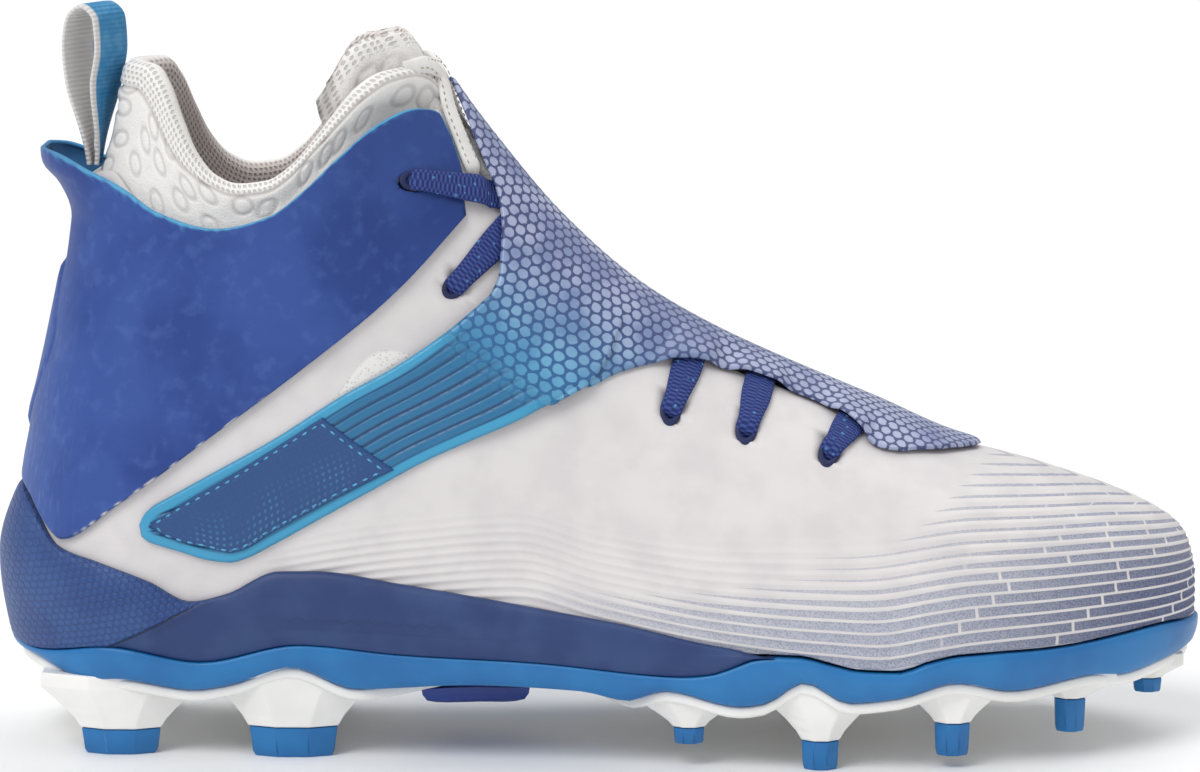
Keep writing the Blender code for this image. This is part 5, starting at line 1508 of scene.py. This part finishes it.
def laceStrand(name, start, crestAlong, end, over=(0.0, 0.0), raised=0.0):
    turn = np.linspace(-1.045, 1.045, 96)
    crest = np.array([crestAlong * shoe["length"], ridge(crestAlong * shoe["length"])])
    holes = [sidePoints(*start), sidePoints(*end)]
    side = np.where(turn < 0, -1, 1)
    line = np.array([crest + (holes[0 if t < 0 else 1] - crest) * t * t for t in turn])
    line[:, 1] = np.minimum(line[:, 1], ridge(line[:, 0]))
    overHere = np.where(turn < 0, over[0], over[1])
    lift = shoe["gap"] * 0.6 + overHere * ease(abs(turn), 0.60, 0.70) + raised * (1 - ease(abs(turn), 0.3, 0.55))
    lift = lift - ease(abs(turn), 0.99, 1.045) * 0.0046  # the end bends into its hole
    narrow = 1 - 0.30 * ease(abs(turn), 0.66, 1.02)
    return loftStrip(name, line, side, lift, lace["width"] / 2 * narrow, lace["thickness"] / 2 * (1.5 - 0.5 * narrow),
                     0.00010)


def makeHoleShadows():
    # painted shade: a dark ring and dish round and into each lace hole, standing in for the hole's shadow
    turn = np.linspace(0, 2 * math.pi, 33)
    for label, (along, rise, half, wide, lean) in laceHoles.items():
        hx, hz = sidePoints(along, rise)
        angle = math.radians(lean)
        height = shoe["gap"] + quarter["thickness"] if label == "top" else 0.0
        for side, sideName in sides:
            rings = []
            for reach, over in ((0.45, -0.0015), (0.64, 0.0000), (0.70, 0.0003), (1.04, 0.0004), (1.10, 0.0)):
                dx, dz = turned(half * reach * np.cos(turn), wide * reach * np.sin(turn), angle)
                rings.append(onForm(hx + dx, hz + dz, side, height + over))
            piece = sheet("laceHoleShadow" + label.capitalize() + sideName, np.stack(rings, axis=1))
            finishPiece(piece, "royal_film", ["slot"])


def makeLaces():
    top, second = laceHoles["top"][:2], laceHoles["second"][:2]
    over = quarter["thickness"] + 0.0006
    first = laceStrand("laceCross", top, laceCrossAlong, second, (over, 0.0), 0.0)
    other = laceStrand("laceCrossOther", second, laceCrossAlong, top, (0.0, over), -0.0009)
    finishPiece(first, "lace_cord", ["lace"], "lace_cross")
    finishPiece(other, "lace_cord", ["lace"])
    for place, (along, rise, crestAlong) in laceBars.items():
        bar = laceStrand("laceBar" + place.capitalize(), (along, rise), crestAlong, (along, rise))
        finishPiece(bar, "lace_cord", ["lace"], "lace_bar_" + place)


loopRows = np.array([  # back and height from the loop's base
    (-0.0008, 0.000), (-0.0018, 0.010), (-0.0030, 0.020), (-0.0037, 0.028), (-0.0027, 0.0350), (0.0006, 0.0380),
    (0.0037, 0.0350), (0.0042, 0.0280), (0.0030, 0.020), (0.0018, 0.010), (0.0008, 0.000),
])
loop = {"width": 0.0165, "thickness": 0.0013, "twist": 21.5, "along": 0.0826, "rise": 0.800, "open": 1.10}


def makePullLoop():
    count, around = 140, 28
    path = walk(loopRows * (loop["open"], 1.0), np.linspace(0, 1, count))
    travel = unit(np.gradient(path, axis=0))
    baseX, baseZ = sidePoints(loop["along"], loop["rise"])
    angle = np.linspace(0, 2 * math.pi, around + 1)
    wide = np.sign(np.cos(angle)) * abs(np.cos(angle)) ** 0.35 * loop["width"] / 2
    thick = np.sign(np.sin(angle)) * abs(np.sin(angle)) ** 0.6 * loop["thickness"] / 2
    flatX, flatZ = path[:, None, 0] - travel[:, None, 1] * thick, path[:, None, 1] + travel[:, None, 0] * thick
    y = wide * (0.72 + 0.28 * ease(path[:, 1], 0.0, 0.02)[:, None])
    dx, dy = turned(flatX, y, -np.radians(loop["twist"]) * ease(path[:, 1], 0.0, 0.022)[:, None])
    points = np.stack([baseX + dx, dy, baseZ + flatZ], axis=-1)
    v = lengths(points, 0)[:, :1] + 0 * y
    thin = loop["thickness"] * 0.46
    blue = 1.0 - ((thick > thin) | ((thick > -thin) & (wide > 0)))
    piece = sheet("pullLoop", points, (y, v), {"face": blue}, closed=True)
    finishPiece(piece, "ribbon", ["ribbon"], "pull_loop")


# all of it

finishes = {
    "azure": plasticFinish("azurePlastic", colour(29, 118, 182), colour(23, 104, 168), 0.40),
    "plate": plasticFinish("platePlastic", colour(246, 245, 242), colour(238, 237, 234), 0.38),
    "royalPlain": plasticFinish("royalPlastic", colour(44, 70, 150), colour(36, 58, 132), 0.45),
    "quarter": quarterFinish(),
    "cutEdge": plain("cutEdge", colour(70, 150, 205), 0.6),
    # painted shade: the quarter's inside face gets the dark teal of the tab's shadow, not its own azure
    "shadedTabInside": plain("shadedTabInside", colour(30, 92, 140), 0.6),
    "vamp": vampFinish(),
    # the second colour is painted shade for the knit's embossed grooves, and its mottle
    "knit": knitFinish("whiteKnit", colour(240, 238, 235), colour(216, 213, 212), colour(216, 207, 203)),
    "shroud": shroudFinish(),
    "label": labelFinish(),
    "lace": laceFinish(),
    "ribbon": ribbonFinish(),
    "foam": foamFinish(),
    # painted shade of the lace holes
    "slot": plain("holeShadowRim", colour(30, 40, 84), 0.6),
    "liner": plain("linerFoam", colour(188, 186, 190), 0.9, 0.2),
    "cyanThread": threadFinish("cyanThread", colour(96, 168, 214)),
    "beigeThread": threadFinish("beigeThread", colour(178, 162, 146)),
    "edgeKnit": plain("edgeKnit", colour(232, 230, 227), 0.9, 0.2),
}
print("finishes made")

stages = {
    "sole": (makeSoleRim, makePlate, makeStudTips, makeArchBar, makeMidsole),
    "upper": (makeInsole, makeUpper, makeQuarter, makeHeelPanel),
    "collar and tongue": (makeCollar, makeTongue, makeThroatEdge),
    "shroud, laces and loop": (makeShroud, makeLabel, makeHoleShadows, makeLaces, makePullLoop),
}
for stage, makers in stages.items():
    for make in makers:
        make()
    print(stage, "made")

# floor, light and camera

studio = {"floor": 6.0, "elevation": 8.3, "distance": 1.2, "lens": 148.79, "roll": 0.00371,
          "target": (0.14572, 0.0, 0.08487)}


def makeFloor():
    bm = bmesh.new()
    bmesh.ops.create_grid(bm, x_segments=1, y_segments=1, size=studio["floor"] / 2)
    floor = addObject("floor", toMesh(bm, "floor"))
    floor.data.materials.append(Finish("paleFloor", 0.55, 0.3).set(base=colour(250, 250, 250)))


def makeLight(name, place, spread, power):
    lamp = bpy.data.lights.new(name, "SUN")
    lamp.angle, lamp.energy = math.radians(spread), power
    thing = addObject(name, lamp)
    thing.location = place
    thing.rotation_euler = (-Vector(place)).to_track_quat("-Z", "Y").to_euler()


def makeCamera():
    lift, roll = math.radians(studio["elevation"]), studio["roll"]
    back = Vector((0, -math.cos(lift), math.sin(lift)))
    side, up = Vector((1, 0, 0)), Vector((0, math.sin(lift), math.cos(lift)))
    right = side * math.cos(roll) + up * math.sin(roll)
    top = up * math.cos(roll) - side * math.sin(roll)
    camera = bpy.data.cameras.new("camera")
    camera.lens, camera.sensor_width, camera.sensor_fit = studio["lens"], 36.0, "HORIZONTAL"
    thing = addObject("camera", camera)
    turn = Matrix((right, top, back)).transposed()
    place = Vector(studio["target"]) + Vector(shift) + back * studio["distance"]
    thing.matrix_world = Matrix.Translation(place) @ turn.to_4x4()
    bpy.context.scene.camera = thing


makeFloor()
makeLight("keyLight", (-0.45, -0.60, 0.85), 32, 1.35)
makeLight("topLight", (0.15, 0.35, 1.00), 50, 0.90)
world = bpy.data.worlds.new("studio")
bpy.context.scene.world = world
world.use_nodes = True
world.node_tree.nodes["Background"].inputs["Color"].default_value = (1.0, 1.0, 1.0, 1.0)
world.node_tree.nodes["Background"].inputs["Strength"].default_value = 0.58
makeCamera()
bpy.context.scene.view_settings.view_transform = "Standard"
print("studio made")
